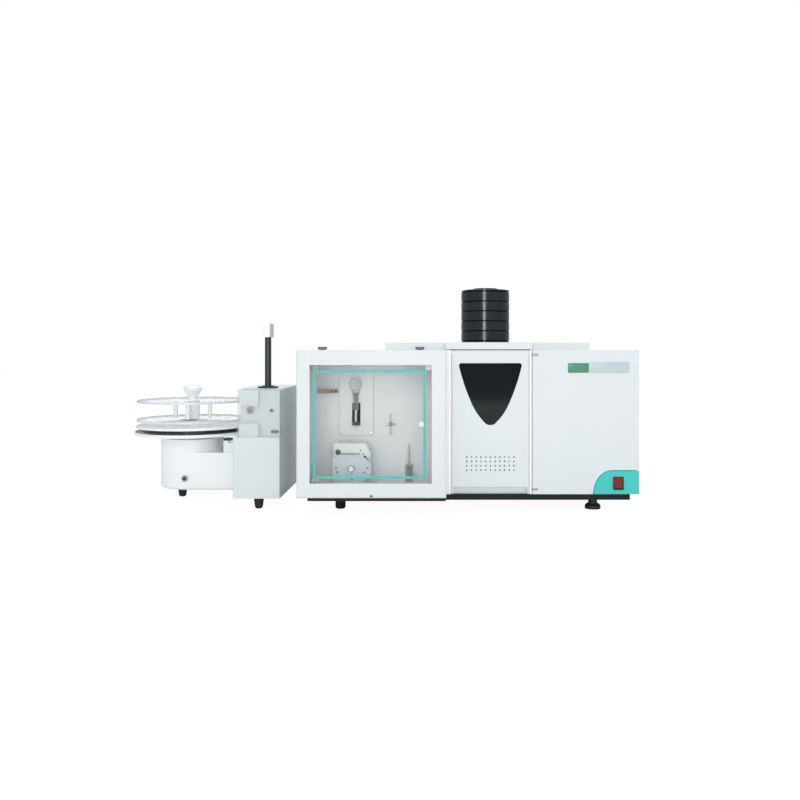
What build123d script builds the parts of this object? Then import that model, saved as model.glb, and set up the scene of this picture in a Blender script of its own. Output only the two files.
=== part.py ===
import os
from math import cos, radians, sin

from build123d import *

os.makedirs("parts", exist_ok=True)

# Driving sizes of the instrument case, in millimetres
hood_width = 350.0
atomizer_width = 206.0
lamp_width = 258.0
case_height = 346.0
case_depth = 400.0
hood_proud = 58.0
hood_depth = 178.0
foot_height = 29.0
base_thick = 14.0
sheet = 2.0
bend = 4.0
seam = 1.5
overrun = 1.0
running_gap = 0.05

# Driving sizes of the sampler that stands beside it
sampler_gap = 52.0
tower_width = 114.0
tower_depth = 290.0
tower_setback = 18.0
tray_gap = 7.0
tray_radius = 147.0
tray_setback = 220.0
gas_spigot_length = 22.0

# Places across, back and up that follow from them
case_width = hood_width + atomizer_width + lamp_width
overall_width = case_width + sampler_gap + tower_width + tray_gap + 2 * tray_radius
overall_depth = hood_proud + case_depth + gas_spigot_length
hood_left = overall_width / 2 - case_width
hood_right = hood_left + hood_width
hood_mid_x = hood_left + hood_width / 2
atomizer_right = hood_right + atomizer_width
case_right = atomizer_right + lamp_width
case_mid_x = hood_left + case_width / 2
hood_front = -overall_depth / 2
door_plane = hood_front + hood_proud
hood_rear = hood_front + hood_depth
case_rear = door_plane + case_depth
case_bottom = foot_height + base_thick
case_top = case_bottom + case_height
case_mid_z = case_bottom + case_height / 2
floor_top = case_bottom + sheet
ceiling = case_top - sheet

# Base plate and feet
base_inset = 20.0
base_corner = 8.0
base_setback = 2.0
base_wall = 3.0
foot_land = 22.0
foot_left_inset = 92.0
foot_right_inset = 102.0
foot_setback = 50.0
foot_radius = 12.5
foot_edge = 3.0
pad_radius = 19.0
pad_height = 8.0
pad_edge = 4.0
neck_radius = 11.0

# Doors and the posts beside them
door_depth = 16.0
door_room = 19.0
left_jamb = 12.0
right_jamb = 4.0
case_post = 6.0
hinge_flange = 14.0
hinge_pin_radius = 2.0
hinge_pin_length = 9.0
hinge_inset = 6.0
lug_width = 13.0
knuckle_height = 5.0
knuckle_gap = 0.5
lamp_hinge_inset = 11.5
lift_axis_inset = 5.0
lift_axis_drop = 4.5
lift_lug_length = 12.0

# Hood window and its clear door
window_left_margin = 31.0
window_right_margin = 34.0
window_top_margin = 35.0
window_bottom_margin = 34.0
window_lip = 20.0
notch_width = 16.0
notch_height = 8.0
pane_recess = 12.0
pane_thick = 4.0
pane_gap = 1.5
pivot_block_width = 20.0
pivot_block_height = 12.0
pivot_block_thick = 9.0
pivot_inset = 6.5
pivot_pin_radius = 2.0
pivot_pin_depth = 8.0
knob_radius = 7.0
knob_length = 10.0
knob_neck_radius = 4.0
knob_inset = 24.0
catch_width = 15.0
catch_height = 12.0
catch_thick = 8.0

window_left = hood_left + window_left_margin
window_right = hood_right - window_right_margin
window_bottom = case_bottom + window_bottom_margin
window_top = case_top - window_top_margin
window_width = window_right - window_left
window_height = window_top - window_bottom
window_mid_x = (window_left + window_right) / 2
window_mid_z = (window_bottom + window_top) / 2
pane_front = hood_front + pane_recess
pane_rear = pane_front + pane_thick
pivot_x = window_left + pivot_inset
pivot_y = (pane_front + pane_rear) / 2

# Raised cover and chimney
hump_left_reach = 148.0
hump_right_inset = 110.0
hump_setback = 44.0
hump_rear_inset = 120.0
hump_height = 18.5
chimney_setback = 127.0
chimney_radius = 61.0
chimney_height = 133.0
chimney_wall = 5.0
ring_count = 5
ring_groove = 3.0
ring_foot = 5.0
ring_head = 5.0
collar_radius = 31.0
collar_height = 4.5
duct_bore = 27.0
duct_wall = 2.0
duct_hang = 60.0

chimney_x = hood_right + atomizer_width / 2
chimney_y = door_plane + chimney_setback
hump_top = case_top + hump_height
chimney_top = hump_top + chimney_height


def facing(depth, x=0, z=0):
    """Upright plane at this depth with X across and Z up. A negative extrude runs to the back."""
    return Plane(origin=(x, depth, z), x_dir=(1, 0, 0), z_dir=(0, -1, 0))


def upright(x, y):
    """Upright plane through a standing axis, with the radius across and Z up."""
    return Plane(origin=(x, y, 0), x_dir=(1, 0, 0), z_dir=(0, -1, 0))


def standing(x, y):
    """Standing axis at this place."""
    return Axis((x, y, 0), (0, 0, 1))


# Base tray, open below, with a solid land over each foot
foot_front_y = door_plane + foot_setback
foot_rear_y = case_rear - foot_setback
left_foot_x = hood_left + foot_left_inset
right_foot_x = case_right - foot_right_inset
foot_places = [(x, y) for x in (left_foot_x, right_foot_x) for y in (foot_front_y, foot_rear_y)]
base_length = case_width - 2 * base_inset
base_reach = case_depth - base_setback - base_inset
base_mid_y = door_plane + base_setback + base_reach / 2
with BuildPart() as base_plate:
    with BuildSketch(Plane.XY.offset(foot_height)):
        with Locations((case_mid_x, base_mid_y)):
            RectangleRounded(base_length, base_reach, base_corner)
    extrude(amount=base_thick)
    with BuildSketch(Plane.XY.offset(foot_height)):
        with Locations((case_mid_x, base_mid_y)):
            RectangleRounded(base_length - 2 * base_wall, base_reach - 2 * base_wall, base_corner - base_wall)
        with Locations(*foot_places):
            Circle(foot_land, mode=Mode.SUBTRACT)
    extrude(amount=base_thick - base_wall, mode=Mode.SUBTRACT)
base_plate.part.label = "base_plate"
export_step(base_plate.part, "parts/base_plate.step")

# Levelling feet under the right end: a flared pad on a screwed neck
with BuildPart() as levelling_feet:
    for foot_y in (foot_front_y, foot_rear_y):
        with BuildSketch(upright(right_foot_x, foot_y)):
            with BuildLine():
                Polyline(
                    (0, 0),
                    (pad_radius, 0),
                    (pad_radius, pad_height),
                    (pad_radius - pad_edge, pad_height + pad_edge),
                    (neck_radius, pad_height + pad_edge),
                    (neck_radius, foot_height),
                    (0, foot_height),
                    close=True,
                )
            make_face()
        revolve(axis=standing(right_foot_x, foot_y))
levelling_feet.part.label = "levelling_feet"
export_step(levelling_feet.part, "parts/levelling_feet.step")

# Floor pan: the hood covers its front left corner, so it is L-shaped like the top cover
bay_front = door_plane + door_room
rear_inner = case_rear - sheet


def case_outline():
    """Plan of the floor pan and the top cover, behind the hood and behind the doors."""
    with BuildSketch() as plan:
        with BuildLine():
            Polyline(
                (hood_left, hood_rear),
                (hood_right, hood_rear),
                (hood_right, bay_front),
                (case_right, bay_front),
                (case_right, rear_inner),
                (hood_left, rear_inner),
                close=True,
            )
        make_face()
    return plan.sketch


case_plan = case_outline()
with BuildPart() as floor_pan:
    with BuildSketch(Plane.XY.offset(case_bottom)):
        add(case_plan)
    extrude(amount=sheet)
floor_pan.part.label = "floor_pan"
export_step(floor_pan.part, "parts/floor_pan.step")

# Top cover with the round hole that the exhaust duct passes
duct_outer = duct_bore + duct_wall
with BuildPart() as top_cover:
    with BuildSketch(Plane.XY.offset(ceiling)):
        add(case_plan)
        with Locations((chimney_x, chimney_y)):
            Circle(duct_outer, mode=Mode.SUBTRACT)
    extrude(amount=sheet)
top_cover.part.label = "top_cover"
export_step(top_cover.part, "parts/top_cover.step")

# Side panels: the right one carries the narrow post that shows beside the lamp door
switch_width = 109.0
switch_height = 56.0
switch_curve = 44.0
switch_top = case_bottom + switch_height
with BuildPart() as side_panels:
    with BuildSketch(Plane.XY.offset(floor_top)):
        with BuildLine():
            Polyline(
                (case_right - sheet, bay_front),
                (case_right, bay_front),
                (case_right, rear_inner),
                (case_right - sheet, rear_inner),
                close=True,
            )
        make_face()
        with BuildLine():
            Polyline(
                (hood_left, hood_rear),
                (hood_left + sheet, hood_rear),
                (hood_left + sheet, rear_inner),
                (hood_left, rear_inner),
                close=True,
            )
        make_face()
    extrude(amount=ceiling - floor_top)
    with BuildSketch(facing(door_plane)):
        with Locations((case_right - case_post / 2, (switch_top + case_top) / 2)):
            Rectangle(case_post, case_top - switch_top)
    extrude(amount=-door_room)
side_panels.part.label = "side_panels"
export_step(side_panels.part, "parts/side_panels.step")

# Partitions on both sides of the atomizer bay, with the jambs that frame its door
lens_angle = 15.0
lens_radius = 17.0
optic_drop = 94.0
optic_z = case_top - optic_drop
left_jamb_right = hood_right + left_jamb
right_jamb_left = atomizer_right - right_jamb
lens_planes = [
    Plane(
        origin=(chimney_x, chimney_y, optic_z),
        x_dir=(0, 0, 1),
        z_dir=(cos(radians(angle)), sin(radians(angle)), 0),
    )
    for angle in (lens_angle, -lens_angle)
]
with BuildPart() as bay_partitions:
    with BuildSketch(Plane.XY.offset(floor_top)):
        with BuildLine():
            Polyline(
                (hood_right, bay_front),
                (left_jamb_right, bay_front),
                (left_jamb_right, bay_front + sheet),
                (hood_right + sheet, bay_front + sheet),
                (hood_right + sheet, rear_inner),
                (hood_right, rear_inner),
                close=True,
            )
        make_face()
        with BuildLine():
            Polyline(
                (right_jamb_left, bay_front),
                (atomizer_right + hinge_flange, bay_front),
                (atomizer_right + hinge_flange, bay_front + sheet),
                (atomizer_right, bay_front + sheet),
                (atomizer_right, rear_inner),
                (atomizer_right - sheet, rear_inner),
                (atomizer_right - sheet, bay_front + sheet),
                (right_jamb_left, bay_front + sheet),
                close=True,
            )
        make_face()
    extrude(amount=ceiling - floor_top)
    with BuildSketch(Plane.XY.offset(case_bottom)):
        with Locations(
            (hood_right + left_jamb / 2, door_plane + door_room / 2),
        ):
            Rectangle(left_jamb, door_room)
        with Locations((atomizer_right - right_jamb / 2, door_plane + door_room / 2)):
            Rectangle(right_jamb, door_room)
    extrude(amount=case_height)
    for lens_plane in lens_planes:
        with BuildSketch(lens_plane):
            Circle(lens_radius)
        extrude(amount=atomizer_width, mode=Mode.SUBTRACT)
bay_partitions.part.label = "bay_partitions"
export_step(bay_partitions.part, "parts/bay_partitions.step")

# Rear panel with the fan opening and two blocks of louvre slots
fan_size = 92.0
fan_bore_radius = 42.0
fan_inset = 90.0
fan_rise = 230.0
louvre_count = 9
louvre_width = 90.0
louvre_slot = 3.0
louvre_pitch = 11.0
louvre_drop = 96.0
louvre_inset = 110.0
fan_x = case_right - fan_inset
fan_z = case_bottom + fan_rise
louvre_x = hood_left + louvre_inset
with BuildPart() as rear_panel:
    with BuildSketch(facing(rear_inner)):
        with Locations((case_mid_x, case_mid_z)):
            Rectangle(case_width, case_height)
        with Locations((fan_x, fan_z)):
            Circle(fan_bore_radius, mode=Mode.SUBTRACT)
        with Locations((louvre_x, case_top - louvre_drop)):
            with GridLocations(0, louvre_pitch, 1, louvre_count):
                Rectangle(louvre_width, louvre_slot, mode=Mode.SUBTRACT)
    extrude(amount=-sheet)
rear_panel.part.label = "rear_panel"
export_step(rear_panel.part, "parts/rear_panel.step")

# Raised cover: a wide hump set back from the doors, with a nose above the atomizer door
hump_left = hood_right - hump_left_reach
hump_right = case_right - hump_right_inset
hump_front = door_plane + hump_setback
hump_rear = case_rear - hump_rear_inset
with BuildPart() as hump_cover:
    with BuildSketch(Plane.XY.offset(case_top)):
        with BuildLine():
            Polyline(
                (hump_left, hump_front),
                (hood_right, hump_front),
                (hood_right, door_plane),
                (atomizer_right, door_plane),
                (atomizer_right, hump_front),
                (hump_right, hump_front),
                (hump_right, hump_rear),
                (hump_left, hump_rear),
                close=True,
            )
        make_face()
    extrude(amount=hump_height)
    fillet(hump_cover.faces().sort_by(Axis.Z)[-1].edges(), radius=sheet)
    with BuildSketch(Plane.XY.offset(case_top)):
        with BuildLine():
            Polyline(
                (hump_left + sheet, hump_front + sheet),
                (hood_right + sheet, hump_front + sheet),
                (hood_right + sheet, door_plane + sheet),
                (atomizer_right - sheet, door_plane + sheet),
                (atomizer_right - sheet, hump_front + sheet),
                (hump_right - sheet, hump_front + sheet),
                (hump_right - sheet, hump_rear - sheet),
                (hump_left + sheet, hump_rear - sheet),
                close=True,
            )
        make_face()
    extrude(amount=hump_height - sheet, mode=Mode.SUBTRACT)
    with BuildSketch(Plane.XY.offset(case_top)):
        with Locations((chimney_x, (door_plane + bay_front) / 2)):
            Rectangle(atomizer_width, door_room)
    extrude(amount=seam, mode=Mode.SUBTRACT)
    with BuildSketch(Plane.XY.offset(case_top)):
        with Locations((chimney_x, chimney_y)):
            Circle(duct_outer)
    extrude(amount=hump_height, mode=Mode.SUBTRACT)
hump_cover.part.label = "hump_cover"
export_step(hump_cover.part, "parts/hump_cover.step")

# Chimney: a cap of stacked rings with a collar, and the duct that hangs into the atomizer bay
ring_pitch = (chimney_height - ring_foot - ring_head) / ring_count
duct_bottom = case_top - duct_hang
chimney_inner = chimney_radius - chimney_wall
chimney_ceiling = chimney_top - chimney_wall
with BuildPart() as chimney:
    with BuildSketch(upright(chimney_x, chimney_y)):
        with BuildLine():
            Line((duct_bore, duct_bottom), (duct_outer, duct_bottom))
            Line((duct_outer, duct_bottom), (duct_outer, chimney_ceiling))
            Line((duct_outer, chimney_ceiling), (chimney_inner, chimney_ceiling))
            Line((chimney_inner, chimney_ceiling), (chimney_inner, hump_top))
            Line((chimney_inner, hump_top), (chimney_radius, hump_top))
            outline = (chimney_radius, hump_top)
            for ring in range(ring_count + 1):
                groove_z = hump_top + ring_foot + ring * ring_pitch
                lip = (chimney_radius, groove_z - ring_groove / 2)
                root = (chimney_radius - ring_groove, groove_z)
                shoulder = (chimney_radius, groove_z + ring_groove / 2)
                Polyline(outline, lip, root, shoulder)
                outline = shoulder
            Polyline(
                outline,
                (chimney_radius, chimney_top - ring_groove / 2),
                (chimney_radius - ring_groove / 2, chimney_top),
                (collar_radius, chimney_top),
                (collar_radius, chimney_top + collar_height),
                (duct_bore, chimney_top + collar_height),
                (duct_bore, duct_bottom),
            )
        make_face()
    revolve(axis=standing(chimney_x, chimney_y))
chimney.part.label = "chimney"
export_step(chimney.part, "parts/chimney.step")

# Chemistry hood: a folded cover with the window opening and its turned-in lip
with BuildPart() as hood_shell:
    with BuildSketch(facing(hood_front)):
        with Locations((hood_mid_x, case_mid_z)):
            Rectangle(hood_width, case_height)
    extrude(amount=-hood_depth)
    fillet(hood_shell.faces().sort_by(Axis.Y)[0].edges(), radius=bend)
    with BuildSketch(facing(hood_front + sheet)):
        with Locations((hood_mid_x, case_mid_z)):
            Rectangle(hood_width - 2 * sheet, case_height - 2 * sheet)
    extrude(amount=-hood_depth, mode=Mode.SUBTRACT)
    with BuildSketch(facing(hood_front + sheet)):
        with Locations((window_mid_x, window_mid_z)):
            Rectangle(window_width + 2 * sheet, window_height + 2 * sheet)
    extrude(amount=sheet - window_lip)
    with BuildSketch(facing(hood_front)):
        with Locations((window_mid_x, window_mid_z)):
            Rectangle(window_width, window_height)
    extrude(amount=-window_lip, mode=Mode.SUBTRACT)
    with BuildSketch(facing(pane_rear + seam)):
        with Locations((window_right - catch_width / 2, window_top - catch_height / 2)):
            Rectangle(catch_width, catch_height)
    extrude(amount=-catch_thick)
    with BuildSketch(facing(hood_front)):
        with Locations((hood_mid_x, case_bottom)):
            SlotCenterPoint((0, 0), (0, notch_height - notch_width / 4), notch_width / 2)
    extrude(amount=-bend, mode=Mode.SUBTRACT)
hood_shell.part.label = "hood_shell"
export_step(hood_shell.part, "parts/hood_shell.step")

# Clear window pane with notched hinge corners
pane_left = window_left + pane_gap
pane_right = window_right - pane_gap
pane_bottom = window_bottom + pane_gap
pane_top = window_top - pane_gap
block_mid_x = pane_left + pivot_block_width / 2
block_heights = (pane_bottom + pivot_block_height / 2, pane_top - pivot_block_height / 2)
knob_x = window_right - knob_inset
knob_z = window_mid_z
with BuildPart() as window_pane:
    with BuildSketch(facing(pane_front)):
        with Locations((window_mid_x, window_mid_z)):
            Rectangle(pane_right - pane_left, pane_top - pane_bottom)
        with Locations(*[(block_mid_x, z) for z in block_heights]):
            Rectangle(pivot_block_width, pivot_block_height, mode=Mode.SUBTRACT)
        with Locations((knob_x, knob_z)):
            Circle(knob_neck_radius, mode=Mode.SUBTRACT)
    extrude(amount=-pane_thick)
window_pane.part.label = "window_pane"
export_step(window_pane.part, "parts/window_pane.step")

# Hinge blocks that hold the pane's left corners, bored for the pivot pins
block_front = pivot_y - pivot_block_thick / 2
with BuildPart() as window_hinge_blocks:
    for block_z in block_heights:
        with BuildSketch(facing(block_front)):
            with Locations((block_mid_x, block_z)):
                Rectangle(pivot_block_width, pivot_block_height)
        extrude(amount=-pivot_block_thick)
    fillet(window_hinge_blocks.edges().filter_by(Axis.Z).group_by(Axis.X)[0], radius=bend)
    with BuildSketch(Plane.XY.offset(window_bottom)):
        with Locations((pivot_x, pivot_y)):
            Circle(pivot_pin_radius + running_gap)
    extrude(amount=pivot_pin_depth + running_gap, mode=Mode.SUBTRACT)
    with BuildSketch(Plane.XY.offset(window_top)):
        with Locations((pivot_x, pivot_y)):
            Circle(pivot_pin_radius + running_gap)
    extrude(amount=-pivot_pin_depth - running_gap, mode=Mode.SUBTRACT)
window_hinge_blocks.part.label = "window_hinge_blocks"
export_step(window_hinge_blocks.part, "parts/window_hinge_blocks.step")

# Pull knob: its neck goes through the pane
with BuildPart() as window_knob:
    with BuildSketch(facing(pane_rear)):
        with Locations((knob_x, knob_z)):
            Circle(knob_neck_radius)
    extrude(amount=pane_thick)
    with BuildSketch(facing(pane_front)):
        with Locations((knob_x, knob_z)):
            Circle(knob_radius)
    extrude(amount=knob_length)
    fillet(window_knob.faces().sort_by(Axis.Y)[0].edges(), radius=sheet)
window_knob.part.label = "window_knob"
export_step(window_knob.part, "parts/window_knob.step")

# Thumb screws that hold the hood, ribbed round the head
thumb_radius = 11.0
thumb_height = 6.5
thumb_shank_radius = 6.0
thumb_shank_height = 1.0
thumb_left_inset = 58.0
thumb_right_inset = 62.0
thumb_setback = 26.0
thumb_rib_count = 16
thumb_rib_radius = 1.2
thumb_y = hood_front + thumb_setback
thumb_places = [(hood_left + thumb_left_inset, thumb_y), (hood_right - thumb_right_inset, thumb_y)]
with BuildPart() as thumb_screws:
    with BuildSketch(Plane.XY.offset(case_top)):
        with Locations(*thumb_places):
            Circle(thumb_shank_radius)
    extrude(amount=thumb_shank_height)
    for place in thumb_places:
        with BuildSketch(Plane.XY.offset(case_top + thumb_shank_height)):
            with Locations(place):
                Circle(thumb_radius)
                with PolarLocations(thumb_radius, thumb_rib_count):
                    Circle(thumb_rib_radius, mode=Mode.SUBTRACT)
        extrude(amount=thumb_height)
thumb_screws.part.label = "thumb_screws"
export_step(thumb_screws.part, "parts/thumb_screws.step")

# Chemistry panel and what stands on it
panel_thick = 3.0
syringe_inset = 125.0
syringe_plate_width = 86.0
syringe_plate_height = 162.0
syringe_plate_rise = 130.0
syringe_plate_thick = 3.0
slot_width = 21.0
slot_height = 57.0
slot_rise = 155.0
valve_rise = 260.0
valve_size = 22.0
valve_depth = 24.0
rotor_radius = 15.0
rotor_thick = 6.0
rotor_stem_radius = 4.0
rotor_stem_length = 10.0
rotor_gap = 0.3
rotor_dot_radius = 1.8
rotor_dot_offset = 8.0
collar_neck_radius = 9.0
collar_neck_length = 15.0
barrel_radius = 7.0
barrel_bore = 5.0
barrel_length = 40.0
plunger_radius = 2.5
piston_length = 6.0
plunger_rest_gap = 3.0
carriage_width = 16.0
carriage_height = 8.0
carriage_reach = 8.0
drive_width = 50.0
drive_depth = 60.0
drive_height = 150.0
drive_channel = 14.0
motor_radius = 21.0
shaft_reach = 10.0
pump_inset = 120.0
pump_rise = 58.0
pump_shaft_radius = 5.0
separator_inset = 259.5
separator_rise = 13.5
separator_radius = 10.0
separator_body = 45.5
separator_collar_radius = 7.0
separator_collar = 3.0
separator_neck = 48.5
separator_tip_radius = 2.0
separator_wall = 1.5
separator_standoff = 22.0
separator_arm_radius = 2.5
separator_arm_length = 14.0
separator_arm_rise = 18.0
clip_width = 10.0
clip_rise = 30.0
clip_height = 9.0
cross_inset = 212.5
cross_rise = 157.5
cross_standoff = 10.0
cross_tube_radius = 2.5
cross_height = 53.0
cross_width = 28.0
cross_hub_radius = 6.0
cross_hub_reach = 4.0
manifold_inset = 54.0
manifold_rise = 242.0
manifold_width = 50.0
manifold_height = 10.0
manifold_depth = 15.0
port_count = 4
port_radius = 2.2
port_pitch = 7.0
port_depth = 6.0

panel_front = hood_rear - panel_thick
plate_front = panel_front - syringe_plate_thick
syringe_x = hood_left + syringe_inset
slot_mid_z = case_bottom + slot_rise + slot_height / 2
pump_x = hood_left + pump_inset
pump_z = case_bottom + pump_rise
separator_x = hood_left + separator_inset
separator_y = panel_front - separator_standoff
separator_z = case_bottom + separator_rise
shaft_bore = pump_shaft_radius + running_gap
with BuildPart() as chemistry_panel:
    with BuildSketch(facing(panel_front)):
        with Locations((hood_mid_x, case_mid_z)):
            Rectangle(hood_width - 2 * sheet, case_height - 2 * sheet)
        with Locations((syringe_x, slot_mid_z)):
            Rectangle(slot_width, slot_height, mode=Mode.SUBTRACT)
        with Locations((pump_x, pump_z)):
            Circle(shaft_bore, mode=Mode.SUBTRACT)
    extrude(amount=-panel_thick)
    with BuildSketch(facing(panel_front)):
        with Locations((separator_x, separator_z + clip_rise + clip_height / 2)):
            Rectangle(clip_width, clip_height)
    extrude(amount=separator_standoff)
    with BuildSketch(Plane.XY.offset(separator_z)):
        with Locations((separator_x, separator_y)):
            Circle(separator_radius)
    extrude(amount=separator_body, mode=Mode.SUBTRACT)
chemistry_panel.part.label = "chemistry_panel"
export_step(chemistry_panel.part, "parts/chemistry_panel.step")

# Syringe plate with its slot and the valve block
valve_z = case_bottom + valve_rise
valve_front = plate_front - valve_depth
with BuildPart() as syringe_plate:
    with BuildSketch(facing(plate_front)):
        with Locations((syringe_x, case_bottom + syringe_plate_rise + syringe_plate_height / 2)):
            Rectangle(syringe_plate_width, syringe_plate_height)
        with Locations((syringe_x, slot_mid_z)):
            Rectangle(slot_width, slot_height, mode=Mode.SUBTRACT)
    extrude(amount=-syringe_plate_thick)
    with BuildSketch(facing(plate_front)):
        with Locations((syringe_x, valve_z)):
            Rectangle(valve_size, valve_size)
    extrude(amount=valve_depth)
    with BuildSketch(facing(valve_front)):
        with Locations((syringe_x, valve_z)):
            Circle(rotor_stem_radius + running_gap)
    extrude(amount=-rotor_stem_length - running_gap, mode=Mode.SUBTRACT)
syringe_plate.part.label = "syringe_plate"
export_step(syringe_plate.part, "parts/syringe_plate.step")

# Rotor of the syringe valve: a round head on a stem, with its index dot
rotor_rear = valve_front - rotor_gap
with BuildPart() as valve_rotor:
    with BuildSketch(facing(rotor_rear)):
        with Locations((syringe_x, valve_z)):
            Circle(rotor_radius)
    extrude(amount=rotor_thick)
    fillet(valve_rotor.faces().sort_by(Axis.Y)[0].edges(), radius=sheet)
    with BuildSketch(facing(rotor_rear - rotor_thick)):
        with Locations((syringe_x + rotor_dot_offset, valve_z + rotor_dot_offset)):
            Circle(rotor_dot_radius)
    extrude(amount=rotor_dot_radius)
    with BuildSketch(facing(rotor_rear)):
        with Locations((syringe_x, valve_z)):
            Circle(rotor_stem_radius)
    extrude(amount=-rotor_stem_length)
valve_rotor.part.label = "valve_rotor"
export_step(valve_rotor.part, "parts/valve_rotor.step")

# Glass syringe barrel under a screwed collar
syringe_y = plate_front - valve_depth / 2
barrel_top = valve_z - valve_size / 2
barrel_bottom = barrel_top - collar_neck_length - barrel_length
with BuildPart() as syringe_barrel:
    with BuildSketch(upright(syringe_x, syringe_y)):
        with BuildLine():
            Polyline(
                (0, barrel_top),
                (collar_neck_radius, barrel_top),
                (collar_neck_radius, barrel_top - collar_neck_length),
                (barrel_radius, barrel_top - collar_neck_length),
                (barrel_radius, barrel_bottom),
                (barrel_bore, barrel_bottom),
                (barrel_bore, barrel_top - barrel_radius),
                (0, barrel_top - barrel_radius),
                close=True,
            )
        make_face()
    revolve(axis=standing(syringe_x, syringe_y))
syringe_barrel.part.label = "syringe_barrel"
export_step(syringe_barrel.part, "parts/syringe_barrel.step")

# Plunger: piston and rod on the carriage that runs in the slot
carriage_bottom = case_bottom + slot_rise + overrun
piston_bottom = barrel_bottom + plunger_rest_gap
with BuildPart() as syringe_plunger:
    with BuildSketch(upright(syringe_x, syringe_y)):
        with BuildLine():
            Polyline(
                (0, carriage_bottom),
                (plunger_radius, carriage_bottom),
                (plunger_radius, piston_bottom),
                (barrel_bore - running_gap, piston_bottom),
                (barrel_bore - running_gap, piston_bottom + piston_length),
                (0, piston_bottom + piston_length),
                close=True,
            )
        make_face()
    revolve(axis=standing(syringe_x, syringe_y))
    with BuildSketch(facing(hood_rear + carriage_reach)):
        with Locations((syringe_x, carriage_bottom + carriage_height / 2)):
            Rectangle(carriage_width, carriage_height)
    extrude(amount=hood_rear + carriage_reach - syringe_y + carriage_height)
syringe_plunger.part.label = "syringe_plunger"
export_step(syringe_plunger.part, "parts/syringe_plunger.step")

# Drives behind the panel: the syringe drive with its channel, and the pump motor
with BuildPart() as fluid_drives:
    with BuildSketch(facing(hood_rear)):
        with Locations((syringe_x, case_bottom + syringe_plate_rise + drive_height / 2)):
            Rectangle(drive_width, drive_height)
        with Locations((pump_x, pump_z)):
            Circle(motor_radius)
    extrude(amount=-drive_depth)
    with BuildSketch(facing(hood_rear)):
        with Locations((syringe_x, slot_mid_z)):
            Rectangle(slot_width, slot_height)
    extrude(amount=-drive_channel, mode=Mode.SUBTRACT)
    with BuildSketch(facing(hood_rear)):
        with Locations((pump_x, pump_z)):
            Circle(shaft_bore)
    extrude(amount=-shaft_reach - running_gap, mode=Mode.SUBTRACT)
fluid_drives.part.label = "fluid_drives"
export_step(fluid_drives.part, "parts/fluid_drives.step")

# Manifold block with a row of ports
manifold_x = hood_left + manifold_inset
manifold_z = case_bottom + manifold_rise
with BuildPart() as manifold_block:
    with BuildSketch(facing(panel_front)):
        with Locations((manifold_x, manifold_z)):
            Rectangle(manifold_width, manifold_height)
    extrude(amount=manifold_depth)
    with BuildSketch(facing(panel_front - manifold_depth)):
        with Locations((manifold_x + manifold_width / 4, manifold_z)):
            with GridLocations(port_pitch, 0, port_count, 1):
                Circle(port_radius)
    extrude(amount=-port_depth, mode=Mode.SUBTRACT)
manifold_block.part.label = "manifold_block"
export_step(manifold_block.part, "parts/manifold_block.step")

# Mixing cross: four glass arms on a round hub that is screwed to the panel
cross_x = hood_left + cross_inset
cross_y = panel_front - cross_standoff
cross_z = case_bottom + cross_rise
with BuildPart() as mixing_cross:
    with BuildSketch(facing(panel_front)):
        with Locations((cross_x, cross_z)):
            Circle(cross_hub_radius)
    extrude(amount=cross_standoff + cross_hub_reach)
    with BuildSketch(Plane.XY.offset(cross_z - cross_height / 2)):
        with Locations((cross_x, cross_y)):
            Circle(cross_tube_radius)
    extrude(amount=cross_height)
    with BuildSketch(Plane.YZ.offset(cross_x - cross_width / 2)):
        with Locations((cross_y, cross_z)):
            Circle(cross_tube_radius)
    extrude(amount=cross_width)
mixing_cross.part.label = "mixing_cross"
export_step(mixing_cross.part, "parts/mixing_cross.step")

# Gas-liquid separator: a hollow glass vessel that narrows to an open tip, with a side arm
separator_shoulder = separator_z + separator_body
separator_waist = separator_shoulder + separator_collar
separator_tip = separator_waist + separator_neck
with BuildPart() as gas_liquid_separator:
    with BuildSketch(upright(separator_x, separator_y)):
        with BuildLine():
            Polyline(
                (0, separator_z),
                (separator_radius, separator_z),
                (separator_radius, separator_shoulder),
                (separator_collar_radius, separator_shoulder),
                (separator_collar_radius, separator_waist),
                (separator_collar_radius - separator_wall, separator_waist),
                (separator_tip_radius, separator_tip),
                (0, separator_tip),
                close=True,
            )
        make_face()
    revolve(axis=standing(separator_x, separator_y))
    with BuildSketch(Plane.YZ.offset(separator_x)):
        with Locations((separator_y, separator_z + separator_arm_rise)):
            Circle(separator_arm_radius)
    extrude(amount=separator_radius + separator_arm_length)
    with BuildSketch(Plane.XY.offset(separator_z + separator_wall)):
        with Locations((separator_x, separator_y)):
            Circle(separator_radius - separator_wall)
    extrude(amount=separator_body - 2 * separator_wall, mode=Mode.SUBTRACT)
    with BuildSketch(Plane.XY.offset(separator_z + separator_wall)):
        with Locations((separator_x, separator_y)):
            Circle(separator_tip_radius / 2)
    extrude(amount=separator_tip, mode=Mode.SUBTRACT)
gas_liquid_separator.part.label = "gas_liquid_separator"
export_step(gas_liquid_separator.part, "parts/gas_liquid_separator.step")

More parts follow.
